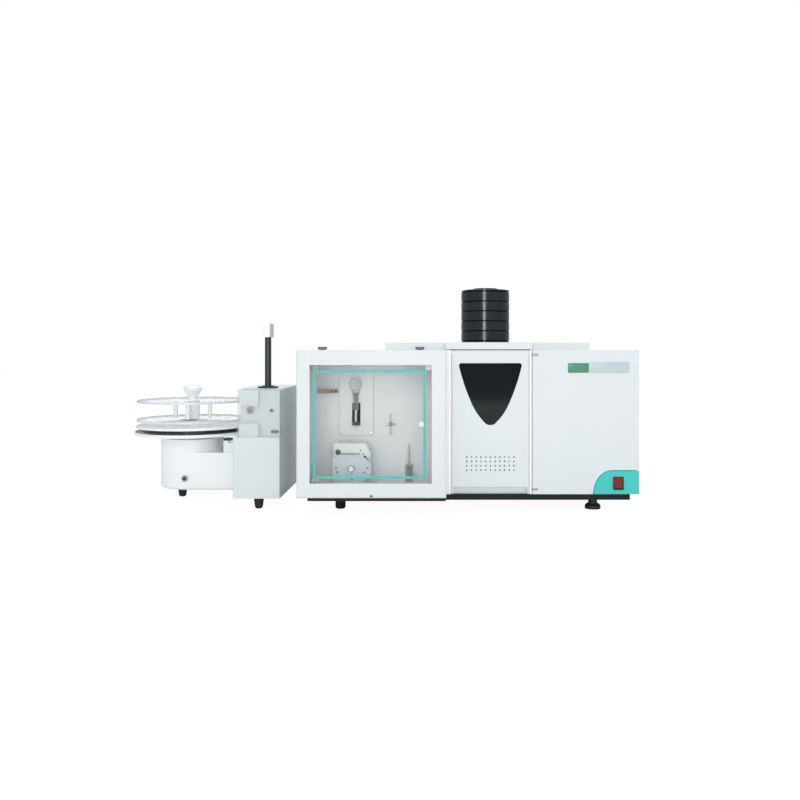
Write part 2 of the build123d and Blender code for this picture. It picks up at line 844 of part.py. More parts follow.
# Peristaltic pump
pump_left = 44.5
pump_right = 48.0
pump_below = 36.5
pump_above = 30.0
pump_chamfer = 19.5
pump_heel = 22.0
pump_reach = 89.0
cheek_thick = 8.0
chamber_length = 54.0
chamber_radius = 29.0
mouth_half = 28.5
roller_radius = 4.5
roller_circle = 21.5
roller_count = 6
roller_disc_radius = 24.0
roller_disc_thick = 4.0
rotor_side_gap = 1.0
pump_knob_radius = 11.0
pump_knob_length = 6.0
pump_knob_slot = 2.5
pump_knob_slot_depth = 2.0
clamp_gap = 0.4
clamp_height = 30.0
clamp_left = 43.0
clamp_shoulder = 35.0
clamp_length = 70.0
shoe_half = 25.0
shoe_drop = 12.0
bed_radius = 28.5
clamp_pin_x = 42.0
clamp_pin_rise = 32.0
clamp_pin_radius = 2.5
clamp_lug_radius = 6.0
clamp_lug_length = 30.0
clamp_lug_gap = 0.5
lever_pivot_x = 31.5
lever_pivot_rise = 39.5
lever_pin_radius = 2.5
lever_head_radius = 7.0
lever_thick = 4.0
lever_gap = 0.3
lever_arm_half = 1.6
lever_arm_reach = 22.0
lever_arm_rise = 35.5

pump_front = panel_front - pump_reach
chamber_front = pump_front + cheek_thick
chamber_rear = chamber_front + chamber_length
lug_front = pump_front + (clamp_length - clamp_lug_length) / 2
lug_rear = lug_front + clamp_lug_length
with BuildPart() as pump_body:
    with BuildSketch(facing(panel_front, pump_x, pump_z)):
        with BuildLine():
            Polyline(
                (-pump_left, -pump_below),
                (pump_right - pump_heel, -pump_below),
                (pump_right, pump_heel - pump_below),
                (pump_right, pump_above - pump_chamfer),
                (pump_right - pump_chamfer, pump_above),
                (-pump_left, pump_above),
                close=True,
            )
        make_face()
    extrude(amount=pump_reach)
    with BuildSketch(facing(lug_rear, pump_x, pump_z)):
        with Locations((clamp_pin_x, clamp_pin_rise / 2)):
            Rectangle(2 * clamp_lug_radius, clamp_pin_rise)
        with Locations((clamp_pin_x, clamp_pin_rise)):
            Circle(clamp_lug_radius)
    extrude(amount=clamp_lug_length)
    with BuildSketch(facing(chamber_front, pump_x, pump_z)):
        Circle(chamber_radius)
        with Locations((0, pump_above)):
            Rectangle(2 * mouth_half, 2 * pump_above)
    extrude(amount=-chamber_length, mode=Mode.SUBTRACT)
    with BuildSketch(facing(pump_front, pump_x, pump_z)):
        Circle(shaft_bore)
    extrude(amount=-pump_reach, mode=Mode.SUBTRACT)
    with BuildSketch(facing(pump_front + clamp_length, pump_x, pump_z)):
        with Locations((clamp_pin_x, clamp_pin_rise)):
            Circle(clamp_pin_radius)
    extrude(amount=clamp_length)
pump_body.part.label = "pump_body"
export_step(pump_body.part, "parts/pump_body.step")

# Pump rotor: six rollers between two discs on the shaft, with the slotted knob in front
with BuildPart() as pump_rotor:
    with BuildSketch(facing(hood_rear + shaft_reach, pump_x, pump_z)):
        Circle(pump_shaft_radius)
    extrude(amount=hood_rear + shaft_reach - pump_front + rotor_gap)
    with BuildSketch(facing(pump_front - rotor_gap, pump_x, pump_z)):
        Circle(pump_knob_radius)
    extrude(amount=pump_knob_length)
    with BuildSketch(facing(pump_front - rotor_gap - pump_knob_length, pump_x, pump_z)):
        Rectangle(2 * pump_knob_radius, pump_knob_slot)
    extrude(amount=-pump_knob_slot_depth, mode=Mode.SUBTRACT)
    for disc_front in (
        chamber_front + rotor_side_gap,
        chamber_rear - rotor_side_gap - roller_disc_thick,
    ):
        with BuildSketch(facing(disc_front, pump_x, pump_z)):
            Circle(roller_disc_radius)
        extrude(amount=-roller_disc_thick)
    with BuildSketch(facing(chamber_front + rotor_side_gap, pump_x, pump_z)):
        with PolarLocations(roller_circle, roller_count):
            Circle(roller_radius)
    extrude(amount=2 * rotor_side_gap - chamber_length)
pump_rotor.part.label = "pump_rotor"
export_step(pump_rotor.part, "parts/pump_rotor.step")

# Clamp that presses the tubes on the rollers, forked round the pump's hinge lug
clamp_base = pump_above + clamp_gap
with BuildPart() as pump_clamp:
    with BuildSketch(facing(pump_front + clamp_length, pump_x, pump_z)):
        with BuildLine():
            Polyline(
                (-clamp_left, clamp_base),
                (clamp_pin_x + clamp_lug_radius, clamp_base),
                (clamp_pin_x + clamp_lug_radius, clamp_pin_rise),
                (clamp_shoulder, clamp_base + clamp_height),
                (-clamp_left, clamp_base + clamp_height),
                close=True,
            )
        make_face()
        with Locations((clamp_pin_x, clamp_pin_rise)):
            Circle(clamp_lug_radius)
    extrude(amount=clamp_length)
    fillet(pump_clamp.edges().filter_by(Axis.Y).group_by(Axis.Z)[-1], radius=bend)
    with BuildSketch(facing(chamber_rear - rotor_side_gap, pump_x, pump_z)):
        with Locations((0, clamp_base - shoe_drop / 2)):
            Rectangle(2 * shoe_half, shoe_drop)
    extrude(amount=chamber_length - 2 * rotor_side_gap)
    with BuildSketch(facing(pump_front + clamp_length, pump_x, pump_z)):
        Circle(bed_radius)
    extrude(amount=clamp_length, mode=Mode.SUBTRACT)
    with BuildSketch(facing(lug_rear + clamp_lug_gap, pump_x, pump_z)):
        with Locations((clamp_pin_x + clamp_lug_radius / 2, clamp_pin_rise)):
            Rectangle(3 * clamp_lug_radius + 2 * clamp_lug_gap, 4 * clamp_lug_radius)
    extrude(amount=clamp_lug_length + 2 * clamp_lug_gap, mode=Mode.SUBTRACT)
    with BuildSketch(facing(pump_front + clamp_length, pump_x, pump_z)):
        with Locations((clamp_pin_x, clamp_pin_rise)):
            Circle(clamp_pin_radius + running_gap)
    extrude(amount=clamp_length, mode=Mode.SUBTRACT)
    with BuildSketch(facing(pump_front, pump_x, pump_z)):
        with Locations((-lever_pivot_x, lever_pivot_rise)):
            Circle(lever_pin_radius)
    extrude(amount=lever_thick + 2 * lever_gap)
pump_clamp.part.label = "pump_clamp"
export_step(pump_clamp.part, "parts/pump_clamp.step")

# Clamp lever: a round head on its pin and a thin arm
with BuildPart() as clamp_lever:
    with BuildSketch(facing(pump_front - lever_gap, pump_x, pump_z)):
        with Locations((-lever_pivot_x, lever_pivot_rise)):
            Circle(lever_head_radius)
        with Locations(((lever_arm_reach - lever_pivot_x) / 2, lever_arm_rise)):
            Rectangle(lever_arm_reach + lever_pivot_x, 2 * lever_arm_half)
        with Locations((-lever_pivot_x, lever_pivot_rise)):
            Circle(lever_pin_radius + running_gap, mode=Mode.SUBTRACT)
    extrude(amount=lever_thick)
clamp_lever.part.label = "clamp_lever"
export_step(clamp_lever.part, "parts/clamp_lever.step")

# Atomizer door: a shield-shaped window, a grid of vent holes and a finger recess
shield_width = 154.0
shield_height = 149.0
shield_drop = 31.5
shield_corner = 6.0
# points on the window's side from the top down: share of the half width, share of the height
shield_share = ((0.8, 0.369), (0.578, 0.66), (0.387, 0.832), (0.184, 0.957))
glass_margin = 8.0
glass_thick = 3.0
vent_columns = 11
vent_rows = 4
vent_pitch_x = 11.3
vent_pitch_z = 10.4
vent_radius = 1.8
vent_rise = 73.5
grip_width = 178.0
grip_height = 17.5
grip_depth = 10.0
grip_corner = 6.0
door_left = left_jamb_right + seam
door_right = right_jamb_left - seam
door_mid_x = (door_left + door_right) / 2
shield_top = case_top - shield_drop
lift_axis_y = door_plane + lift_axis_inset
lift_axis_z = case_top - lift_axis_drop


def shield_outline():
    """Window of the atomizer door: a flat top, and sides that curve in to a round tip."""
    half = shield_width / 2
    right_side = [(half * across, -shield_height * down) for across, down in shield_share]
    shoulder, waist, flank, tip = right_side
    left_shoulder, left_waist, left_flank, left_tip = [(-x, z) for x, z in right_side]
    with BuildSketch() as outline:
        with BuildLine():
            Line((-half, 0), (half, 0))
            ThreePointArc((half, 0), shoulder, waist)
            ThreePointArc(waist, flank, tip)
            ThreePointArc(tip, (0, -shield_height), left_tip)
            ThreePointArc(left_tip, left_flank, left_waist)
            ThreePointArc(left_waist, left_shoulder, (-half, 0))
        make_face()
        fillet(outline.vertices().group_by(Axis.Y)[-1], radius=shield_corner)
    return outline.sketch


shield = shield_outline()
with BuildPart() as atomizer_door:
    with BuildSketch(facing(door_plane)):
        with Locations((door_mid_x, case_mid_z)):
            Rectangle(door_right - door_left, case_height)
    extrude(amount=-door_depth)
    fillet(atomizer_door.faces().sort_by(Axis.Y)[0].edges(), radius=bend)
    with BuildSketch(facing(door_plane + sheet)):
        with Locations((door_mid_x, case_mid_z)):
            Rectangle(door_right - door_left - 2 * sheet, case_height - 2 * sheet)
    extrude(amount=-door_depth, mode=Mode.SUBTRACT)
    for lug_start, lug_length in ((door_left, lift_lug_length), (door_right, -lift_lug_length)):
        with BuildSketch(Plane.YZ.offset(lug_start)):
            with Locations((lift_axis_y, lift_axis_z)):
                Circle(lift_axis_drop)
            with Locations((lift_axis_y, lift_axis_z - lift_axis_drop / 2)):
                Rectangle(2 * lift_axis_drop, lift_axis_drop)
        extrude(amount=lug_length)
    with BuildSketch(Plane.YZ.offset(door_left)):
        with Locations((lift_axis_y, lift_axis_z)):
            Circle(hinge_pin_radius + running_gap)
    extrude(amount=door_right - door_left, mode=Mode.SUBTRACT)
    with BuildSketch(facing(door_plane, door_mid_x, shield_top)):
        add(shield)
    extrude(amount=-sheet, mode=Mode.SUBTRACT)
    with BuildSketch(facing(door_plane)):
        with Locations((door_mid_x, case_bottom + vent_rise)):
            with GridLocations(vent_pitch_x, vent_pitch_z, vent_columns, vent_rows):
                Circle(vent_radius)
    extrude(amount=-sheet, mode=Mode.SUBTRACT)
    with BuildSketch(facing(door_plane + sheet)):
        with Locations((door_mid_x, case_bottom + (grip_height + sheet) / 2)):
            Rectangle(grip_width + 2 * sheet, grip_height + sheet)
    extrude(amount=-grip_depth)
    with BuildSketch(facing(door_plane)):
        with Locations((door_mid_x, case_bottom)):
            RectangleRounded(grip_width, 2 * grip_height, grip_corner)
    extrude(amount=-grip_depth, mode=Mode.SUBTRACT)
atomizer_door.part.label = "atomizer_door"
export_step(atomizer_door.part, "parts/atomizer_door.step")

# Tinted glass behind the shield opening
with BuildPart() as atomizer_glass:
    with BuildSketch(facing(door_plane + sheet, door_mid_x, shield_top)):
        add(shield)
        offset(amount=glass_margin)
    extrude(amount=-glass_thick)
atomizer_glass.part.label = "atomizer_glass"
export_step(atomizer_glass.part, "parts/atomizer_glass.step")

# Pins of the window door and of the atomizer door
pin_reach = seam + hinge_pin_length
with BuildPart() as door_pivot_pins:
    with BuildSketch(Plane.XY.offset(window_bottom)):
        with Locations((pivot_x, pivot_y)):
            Circle(pivot_pin_radius)
    extrude(amount=pivot_pin_depth)
    with BuildSketch(Plane.XY.offset(window_top)):
        with Locations((pivot_x, pivot_y)):
            Circle(pivot_pin_radius)
    extrude(amount=-pivot_pin_depth)
    with BuildSketch(Plane.YZ.offset(left_jamb_right)):
        with Locations((lift_axis_y, lift_axis_z)):
            Circle(hinge_pin_radius)
    extrude(amount=pin_reach)
    with BuildSketch(Plane.YZ.offset(right_jamb_left)):
        with Locations((lift_axis_y, lift_axis_z)):
            Circle(hinge_pin_radius)
    extrude(amount=-pin_reach)
door_pivot_pins.part.label = "door_pivot_pins"
export_step(door_pivot_pins.part, "parts/door_pivot_pins.step")

# Lamp door: a folded pan cut round the switch panel, with bored lugs at its left edge
lamp_left = atomizer_right + seam
lamp_right = case_right - case_post - seam
lamp_mid_x = (lamp_left + lamp_right) / 2
switch_left = case_right - switch_width
hinge_x = lamp_left + hinge_inset
hinge_y = door_plane + hinge_inset
hinge_heights = (case_bottom + lamp_hinge_inset, case_top - lamp_hinge_inset)
lug_half = lamp_hinge_inset - overrun


def switch_corner(clearance):
    """Outline of the switch panel: a quarter ellipse that runs on into a straight top."""
    centre_x = switch_left + switch_curve
    with BuildSketch() as outline:
        with BuildLine():
            EllipticalCenterArc(
                (centre_x, case_bottom),
                switch_curve + clearance,
                switch_height + clearance,
                start_angle=90,
                arc_size=90,
            )
            Polyline(
                (centre_x - switch_curve - clearance, case_bottom),
                (case_right, case_bottom),
                (case_right, switch_top + clearance),
                (centre_x, switch_top + clearance),
            )
        make_face()
    return outline.sketch


def lamp_door_face(inset):
    """Face of the lamp door, drawn in from its edges by this much."""
    with BuildSketch() as outline:
        with Locations((lamp_mid_x, case_mid_z)):
            Rectangle(lamp_right - lamp_left - 2 * inset, case_height - 2 * inset)
        add(switch_corner(seam + inset), mode=Mode.SUBTRACT)
    return outline.sketch


lamp_face = lamp_door_face(0)
lamp_pocket = lamp_door_face(sheet)
with BuildPart() as lamp_door:
    with BuildSketch(facing(door_plane)):
        add(lamp_face)
    extrude(amount=-door_depth)
    fillet(lamp_door.faces().sort_by(Axis.Y)[0].edges().filter_by(Axis.Z).sort_by(Axis.X)[0], radius=bend)
    with BuildSketch(facing(door_plane + sheet)):
        add(lamp_pocket)
    extrude(amount=-door_depth, mode=Mode.SUBTRACT)
    for hinge_z in hinge_heights:
        with BuildSketch(Plane.XY.offset(hinge_z - lug_half)):
            with Locations((hinge_x, hinge_y)):
                Circle(hinge_inset)
            with Locations((hinge_x + hinge_inset / 2, hinge_y)):
                Rectangle(hinge_inset, 2 * hinge_inset)
        extrude(amount=2 * lug_half)
        with BuildSketch(Plane.XY.offset(hinge_z - lug_half + sheet)):
            with Locations((hinge_x, hinge_y)):
                Circle(hinge_pin_radius + running_gap)
        extrude(amount=2 * (lug_half - sheet), mode=Mode.SUBTRACT)
        with BuildSketch(facing(door_plane)):
            with Locations((lamp_left + lug_width / 2, hinge_z)):
                Rectangle(lug_width, knuckle_height + 2 * knuckle_gap)
        extrude(amount=-door_depth, mode=Mode.SUBTRACT)
lamp_door.part.label = "lamp_door"
export_step(lamp_door.part, "parts/lamp_door.step")

# Fixed knuckles and pins of the lamp door
pin_half = lug_half - sheet - running_gap
with BuildPart() as lamp_door_hinges:
    for hinge_z in hinge_heights:
        with BuildSketch(Plane.XY.offset(hinge_z - knuckle_height / 2)):
            with BuildLine():
                Polyline(
                    (lamp_left + knuckle_gap, door_plane + knuckle_gap),
                    (lamp_left + lug_width - 2 * knuckle_gap, door_plane + knuckle_gap),
                    (lamp_left + lug_width - 2 * knuckle_gap, bay_front),
                    (lamp_left + knuckle_gap, bay_front),
                    close=True,
                )
            make_face()
        extrude(amount=knuckle_height)
        with BuildSketch(Plane.XY.offset(hinge_z - pin_half)):
            with Locations((hinge_x, hinge_y)):
                Circle(hinge_pin_radius)
        extrude(amount=2 * pin_half)
lamp_door_hinges.part.label = "lamp_door_hinges"
export_step(lamp_door_hinges.part, "parts/lamp_door_hinges.step")

# Switch panel in the lower right corner, with its bezel and rocker
bezel_width = 25.5
bezel_height = 31.5
bezel_flange = 2.0
bezel_body_width = 22.5
bezel_body_height = 28.0
bezel_body_depth = 20.0
bezel_inset = 50.0
bezel_rise = 26.0
rocker_width = 19.0
rocker_half = 11.2
rocker_gap = 0.2
rocker_bore_half = 12.2
rocker_well = 14.0
rocker_pivot_inset = 3.0
rocker_peak = 5.0
rocker_valley = 3.4
rocker_heel = 4.0
rocker_heel_half = 9.0
rocker_tilt = 8.0
trunnion_radius = 1.5
trunnion_length = 1.2
bezel_x = case_right - bezel_inset
bezel_z = case_bottom + bezel_rise
switch_face = switch_corner(0)
switch_pocket = switch_corner(-sheet)
with BuildPart() as switch_panel:
    with BuildSketch(facing(door_plane)):
        add(switch_face)
    extrude(amount=-door_room)
    with BuildSketch(facing(door_plane + sheet)):
        add(switch_pocket)
        with Locations((case_right - switch_width / 2, case_bottom + switch_height / 2)):
            Rectangle(switch_width - 2 * sheet, switch_height - 2 * sheet, mode=Mode.INTERSECT)
    extrude(amount=-door_room, mode=Mode.SUBTRACT)
    with BuildSketch(facing(door_plane)):
        with Locations((bezel_x, bezel_z)):
            Rectangle(bezel_body_width, bezel_body_height)
    extrude(amount=-sheet, mode=Mode.SUBTRACT)
switch_panel.part.label = "switch_panel"
export_step(switch_panel.part, "parts/switch_panel.step")

rocker_y = door_plane + rocker_pivot_inset
with BuildPart() as switch_bezel:
    with BuildSketch(facing(door_plane)):
        with Locations((bezel_x, bezel_z)):
            RectangleRounded(bezel_width, bezel_height, bezel_flange)
    extrude(amount=bezel_flange)
    with BuildSketch(facing(door_plane)):
        with Locations((bezel_x, bezel_z)):
            Rectangle(bezel_body_width, bezel_body_height)
    extrude(amount=-bezel_body_depth)
    with BuildSketch(facing(door_plane - bezel_flange)):
        with Locations((bezel_x, bezel_z)):
            Rectangle(rocker_width + 2 * rocker_gap, 2 * rocker_bore_half)
    extrude(amount=-bezel_flange - rocker_well, mode=Mode.SUBTRACT)
    with BuildSketch(Plane.YZ.offset(bezel_x - rocker_width / 2 - trunnion_length - running_gap)):
        with Locations((rocker_y, bezel_z)):
            Circle(trunnion_radius + running_gap)
    extrude(amount=rocker_width + 2 * trunnion_length + 2 * running_gap, mode=Mode.SUBTRACT)
switch_bezel.part.label = "switch_bezel"
export_step(switch_bezel.part, "parts/switch_bezel.step")

rocker_plane = Plane(
    origin=(bezel_x - rocker_width / 2, rocker_y, bezel_z),
    x_dir=(0, cos(radians(rocker_tilt)), -sin(radians(rocker_tilt))),
    z_dir=(1, 0, 0),
)
with BuildPart() as power_rocker:
    with BuildSketch(rocker_plane):
        with BuildLine():
            Polyline(
                (-rocker_peak, rocker_half),
                (-rocker_valley, 0),
                (-rocker_peak, -rocker_half),
                (0, -rocker_half),
                (rocker_heel, -rocker_heel_half),
                (rocker_heel, rocker_heel_half),
                (0, rocker_half),
                close=True,
            )
        make_face()
    extrude(amount=rocker_width)
    with BuildSketch(rocker_plane.offset(-trunnion_length)):
        Circle(trunnion_radius)
    extrude(amount=rocker_width + 2 * trunnion_length)
power_rocker.part.label = "power_rocker"
export_step(power_rocker.part, "parts/power_rocker.step")

# Furnace on its stand, under the duct: a base, two posts, a platform and the quartz burner
furnace_base = 70.0
furnace_base_height = 10.0
furnace_post_radius = 5.0
furnace_post_offset = 24.0
furnace_platform_drop = 92.0
furnace_platform = 64.0
furnace_platform_thick = 6.0
furnace_radius = 20.0
furnace_height = 56.0
burner_radius = 7.0
burner_bore = 5.0
burner_height = 16.0
platform_z = optic_z - furnace_platform_drop
furnace_top = platform_z + furnace_platform_thick + furnace_height
with BuildPart() as furnace:
    with BuildSketch(Plane.XY.offset(floor_top)):
        with Locations((chimney_x, chimney_y)):
            RectangleRounded(furnace_base, furnace_base, bend)
    extrude(amount=furnace_base_height)
    with BuildSketch(Plane.XY.offset(floor_top)):
        with Locations((chimney_x, chimney_y)):
            with GridLocations(2 * furnace_post_offset, 0, 2, 1):
                Circle(furnace_post_radius)
    extrude(amount=platform_z - floor_top)
    with BuildSketch(Plane.XY.offset(platform_z)):
        with Locations((chimney_x, chimney_y)):
            RectangleRounded(furnace_platform, furnace_platform, bend)
    extrude(amount=furnace_platform_thick)
    with BuildSketch(upright(chimney_x, chimney_y)):
        with BuildLine():
            Polyline(
                (burner_bore, platform_z),
                (furnace_radius, platform_z),
                (furnace_radius, furnace_top - bend),
                (furnace_radius - bend, furnace_top),
                (burner_radius, furnace_top),
                (burner_radius, furnace_top + burner_height),
                (burner_bore, furnace_top + burner_height),
                close=True,
            )
        make_face()
    revolve(axis=standing(chimney_x, chimney_y))
furnace.part.label = "furnace"
export_step(furnace.part, "parts/furnace.step")

# Optics: two lens tubes through the partition, and the detector behind the furnace
lens_start = 38.0
lens_length = 92.0
detector_width = 70.0
detector_depth = 96.0
detector_height = 84.0
detector_start = 84.0
detector_tube_start = 40.0
shelf_thick = 3.0
shelf_start = 46.0
lamp_start = 148.0
lamp_length = 130.0
lamp_radius = 19.0
lamp_base_radius = 17.0
lamp_base_length = 34.0
lamp_bench_front = 26.0
lamp_bench_rear = 232.0
lamp_bench_drop = 32.0
holder_thick = 14.0
holder_half = 24.0
shelf_top = optic_z - detector_height / 2
with BuildPart() as optics:
    for lens_plane in lens_planes:
        with BuildSketch(lens_plane.offset(lens_start)):
            Circle(lens_radius)
        extrude(amount=lens_length)
        with BuildSketch(lens_plane.offset(lens_start)):
            Circle(lens_radius - sheet)
        extrude(amount=burner_height, mode=Mode.SUBTRACT)
    with BuildSketch(facing(chimney_y + detector_start, chimney_x, optic_z)):
        Rectangle(detector_width, detector_height)
    extrude(amount=-detector_depth)
    with BuildSketch(facing(chimney_y + detector_start, chimney_x, optic_z)):
        Circle(lens_radius)
    extrude(amount=detector_start - detector_tube_start)
    with BuildSketch(Plane.XY.offset(shelf_top - shelf_thick)):
        with BuildLine():
            Polyline(
                (hood_right + sheet, chimney_y + shelf_start),
                (atomizer_right - sheet, chimney_y + shelf_start),
                (atomizer_right - sheet, chimney_y + detector_start + detector_depth),
                (hood_right + sheet, chimney_y + detector_start + detector_depth),
                close=True,
            )
        make_face()
    extrude(amount=shelf_thick)
optics.part.label = "optics"
export_step(optics.part, "parts/optics.step")

# Lamp bench: a shelf across the lamp bay with a bored holder for each lamp
lamp_shelf_z = optic_z - lamp_bench_drop
holder_middle = lamp_start + lamp_length / 2
with BuildPart() as lamp_bench:
    with BuildSketch(Plane.XY.offset(lamp_shelf_z - shelf_thick)):
        with BuildLine():
            Polyline(
                (atomizer_right, door_plane + lamp_bench_front),
                (case_right - sheet, door_plane + lamp_bench_front),
                (case_right - sheet, door_plane + lamp_bench_rear),
                (atomizer_right, door_plane + lamp_bench_rear),
                close=True,
            )
        make_face()
    extrude(amount=shelf_thick)
    for lens_plane in lens_planes:
        with BuildSketch(lens_plane.offset(holder_middle)):
            with Locations((-lamp_bench_drop / 2, 0)):
                Rectangle(lamp_bench_drop, 2 * holder_half)
            Circle(holder_half)
            Circle(lamp_radius, mode=Mode.SUBTRACT)
        extrude(amount=holder_thick)
lamp_bench.part.label = "lamp_bench"
export_step(lamp_bench.part, "parts/lamp_bench.step")

# Hollow-cathode lamps: a glass envelope with a narrower base behind it
with BuildPart() as hollow_cathode_lamps:
    for lens_plane in lens_planes:
        with BuildSketch(lens_plane.offset(lamp_start)):
            Circle(lamp_radius)
        extrude(amount=lamp_length)
        with BuildSketch(lens_plane.offset(lamp_start + lamp_length)):
            Circle(lamp_base_radius)
        extrude(amount=lamp_base_length)
hollow_cathode_lamps.part.label = "hollow_cathode_lamps"
export_step(hollow_cathode_lamps.part, "parts/hollow_cathode_lamps.step")

# Power supply on the floor of the lamp bay
supply_width = 180.0
supply_depth = 130.0
supply_height = 74.0
supply_rear_gap = 58.0
supply_mid_x = (atomizer_right + case_right) / 2
with BuildPart() as power_supply:
    with BuildSketch(Plane.XY.offset(floor_top)):
        with Locations((supply_mid_x, rear_inner - supply_rear_gap - supply_depth / 2)):
            Rectangle(supply_width, supply_depth)
    extrude(amount=supply_height)
    fillet(power_supply.edges().filter_by(Axis.Z), radius=sheet)
power_supply.part.label = "power_supply"
export_step(power_supply.part, "parts/power_supply.step")

# Fan: a square frame inside the rear panel, spokes to the motor, and the bladed rotor
fan_thick = 25.0
fan_wall = 3.0
fan_hub_radius = 16.0
fan_spoke_width = 5.0
fan_spoke_thick = 4.0
fan_spoke_count = 3
fan_motor_thick = 8.0
fan_pin_radius = 2.0
fan_pin_length = 8.0
fan_hub_length = 12.0
fan_blade_count = 7
fan_blade_tip = 39.5
fan_blade_thick = 1.6
fan_blade_pitch = 32.0
fan_blade_chord = 17.0
fan_rear = rear_inner
fan_front = fan_rear - fan_thick
fan_hub_rear = fan_rear - fan_motor_thick - rotor_gap
with BuildPart() as fan_frame:
    with BuildSketch(facing(fan_front, fan_x, fan_z)):
        RectangleRounded(fan_size, fan_size, bend)
        Circle(fan_bore_radius, mode=Mode.SUBTRACT)
    extrude(amount=-fan_thick)
    with BuildSketch(facing(fan_rear - fan_spoke_thick, fan_x, fan_z)):
        with PolarLocations(fan_bore_radius / 2, fan_spoke_count):
            Rectangle(fan_bore_radius + fan_wall, fan_spoke_width)
        Circle(fan_hub_radius)
    extrude(amount=-fan_spoke_thick)
    with BuildSketch(facing(fan_rear - fan_motor_thick, fan_x, fan_z)):
        Circle(fan_hub_radius)
    extrude(amount=-fan_motor_thick)
    with BuildSketch(facing(fan_rear - fan_motor_thick, fan_x, fan_z)):
        Circle(fan_pin_radius)
    extrude(amount=fan_pin_length)
fan_frame.part.label = "fan_frame"
export_step(fan_frame.part, "parts/fan_frame.step")

with BuildPart() as fan_rotor:
    with BuildSketch(facing(fan_hub_rear - fan_hub_length, fan_x, fan_z)):
        Circle(fan_hub_radius)
    extrude(amount=-fan_hub_length)
    for blade in range(fan_blade_count):
        turn = radians(360 / fan_blade_count * blade)
        root_plane = Plane(
            origin=(fan_x, fan_hub_rear - fan_hub_length / 2, fan_z),
            x_dir=(-sin(turn), 0, cos(turn)),
            z_dir=(cos(turn), 0, sin(turn)),
        )
        with BuildSketch(root_plane.offset(fan_hub_radius - fan_wall)):
            with Locations(Rotation(0, 0, fan_blade_pitch)):
                Rectangle(fan_blade_chord, fan_blade_thick)
        extrude(amount=fan_blade_tip - fan_hub_radius + fan_wall)
    with BuildSketch(facing(fan_hub_rear, fan_x, fan_z)):
        Circle(fan_pin_radius + running_gap)
    extrude(amount=fan_pin_length, mode=Mode.SUBTRACT)
fan_rotor.part.label = "fan_rotor"
export_step(fan_rotor.part, "parts/fan_rotor.step")

# Power inlet and gas inlet on the rear panel
inlet_width = 48.0
inlet_height = 30.0
inlet_thick = 3.0
inlet_well_width = 25.0
inlet_well_height = 17.0
inlet_well_depth = 15.0
inlet_side_inset = 90.0
inlet_rise = 60.0
gas_side_inset = 110.0
gas_rise = 70.0
gas_nut_radius = 8.0
gas_nut_length = 9.0
gas_spigot_radius = 3.0
inlet_x = case_right - inlet_side_inset
inlet_z = case_bottom + inlet_rise
gas_x = hood_left + gas_side_inset
gas_z = case_bottom + gas_rise
with BuildPart() as power_inlet:
    with BuildSketch(facing(case_rear, inlet_x, inlet_z)):
        RectangleRounded(inlet_width, inlet_height, bend)
    extrude(amount=-inlet_well_depth - inlet_thick)
    with BuildSketch(facing(case_rear + inlet_well_depth + inlet_thick, inlet_x, inlet_z)):
        RectangleRounded(inlet_well_width, inlet_well_height, sheet)
    extrude(amount=inlet_well_depth, mode=Mode.SUBTRACT)
power_inlet.part.label = "power_inlet"
export_step(power_inlet.part, "parts/power_inlet.step")

with BuildPart() as gas_inlet:
    with BuildSketch(facing(case_rear, gas_x, gas_z)):
        RegularPolygon(gas_nut_radius, 6)
    extrude(amount=-gas_nut_length)
    with BuildSketch(facing(case_rear, gas_x, gas_z)):
        Circle(gas_spigot_radius)
    extrude(amount=-gas_spigot_length)
gas_inlet.part.label = "gas_inlet"
export_step(gas_inlet.part, "parts/gas_inlet.step")

# Sampler places
base_radius = 81.0
base_height = 96.0
base_step_height = 33.0
base_shell = 3.0
base_fillet = 8.0
button_rise = 30.5
button_radius = 8.5
button_length = 6.0
button_proud = 4.0
button_collar = 2.0
button_angle = 2.2
tower_base_height = 148.0
tower_top_rise = 264.5
tower_front_depth = 52.0
tower_wall = 3.0
tower_foot_setback = 33.0
tray_foot_inset = 27.0
sampler_foot_radius = 13.0
sampler_foot_tip = 9.5
column_inset = 44.0
column_setback = 82.0
column_radius = 8.0
column_top_rise = 404.0
guide_gap = 0.1
flange_radius = 25.5
flange_height = 6.0
flange_step = 2.0
flange_step_radius = 15.0

tower_right = hood_left - sampler_gap
tower_left = tower_right - tower_width
tower_mid_x = (tower_left + tower_right) / 2
tower_front = door_plane + tower_setback
tower_rear = tower_front + tower_depth
tray_x = tower_left - tray_gap - tray_radius
tray_y = door_plane + tray_setback
sampler_bottom = foot_height
base_top = sampler_bottom + base_height
step_top = base_top + base_step_height
tower_shoulder = sampler_bottom + tower_base_height
tower_top = sampler_bottom + tower_top_rise
cover_rear = tower_front + tower_front_depth
column_x = tower_right - column_inset
column_y = tower_front + column_setback

# Rubber feet: plain ones under the case, tapered ones under the sampler
sampler_foot_places = [
    (tower_mid_x, tower_front + tower_foot_setback),
    (tower_mid_x, tower_rear - tower_foot_setback),
    (tray_x - tray_foot_inset, tray_y),
]
with BuildPart() as rubber_feet:
    for foot_y in (foot_front_y, foot_rear_y):
        with BuildSketch(Plane.XY):
            with Locations((left_foot_x, foot_y)):
                Circle(foot_radius)
        extrude(amount=foot_height)
    chamfer(rubber_feet.faces().group_by(Axis.Z)[0].edges(), length=foot_edge)
    for foot_x, foot_y in sampler_foot_places:
        with BuildSketch(upright(foot_x, foot_y)):
            with BuildLine():
                Polyline(
                    (0, 0),
                    (sampler_foot_tip - foot_edge, 0),
                    (sampler_foot_tip, foot_edge),
                    (sampler_foot_radius, foot_height),
                    (0, foot_height),
                    close=True,
                )
            make_face()
        revolve(axis=standing(foot_x, foot_y))
rubber_feet.part.label = "rubber_feet"
export_step(rubber_feet.part, "parts/rubber_feet.step")

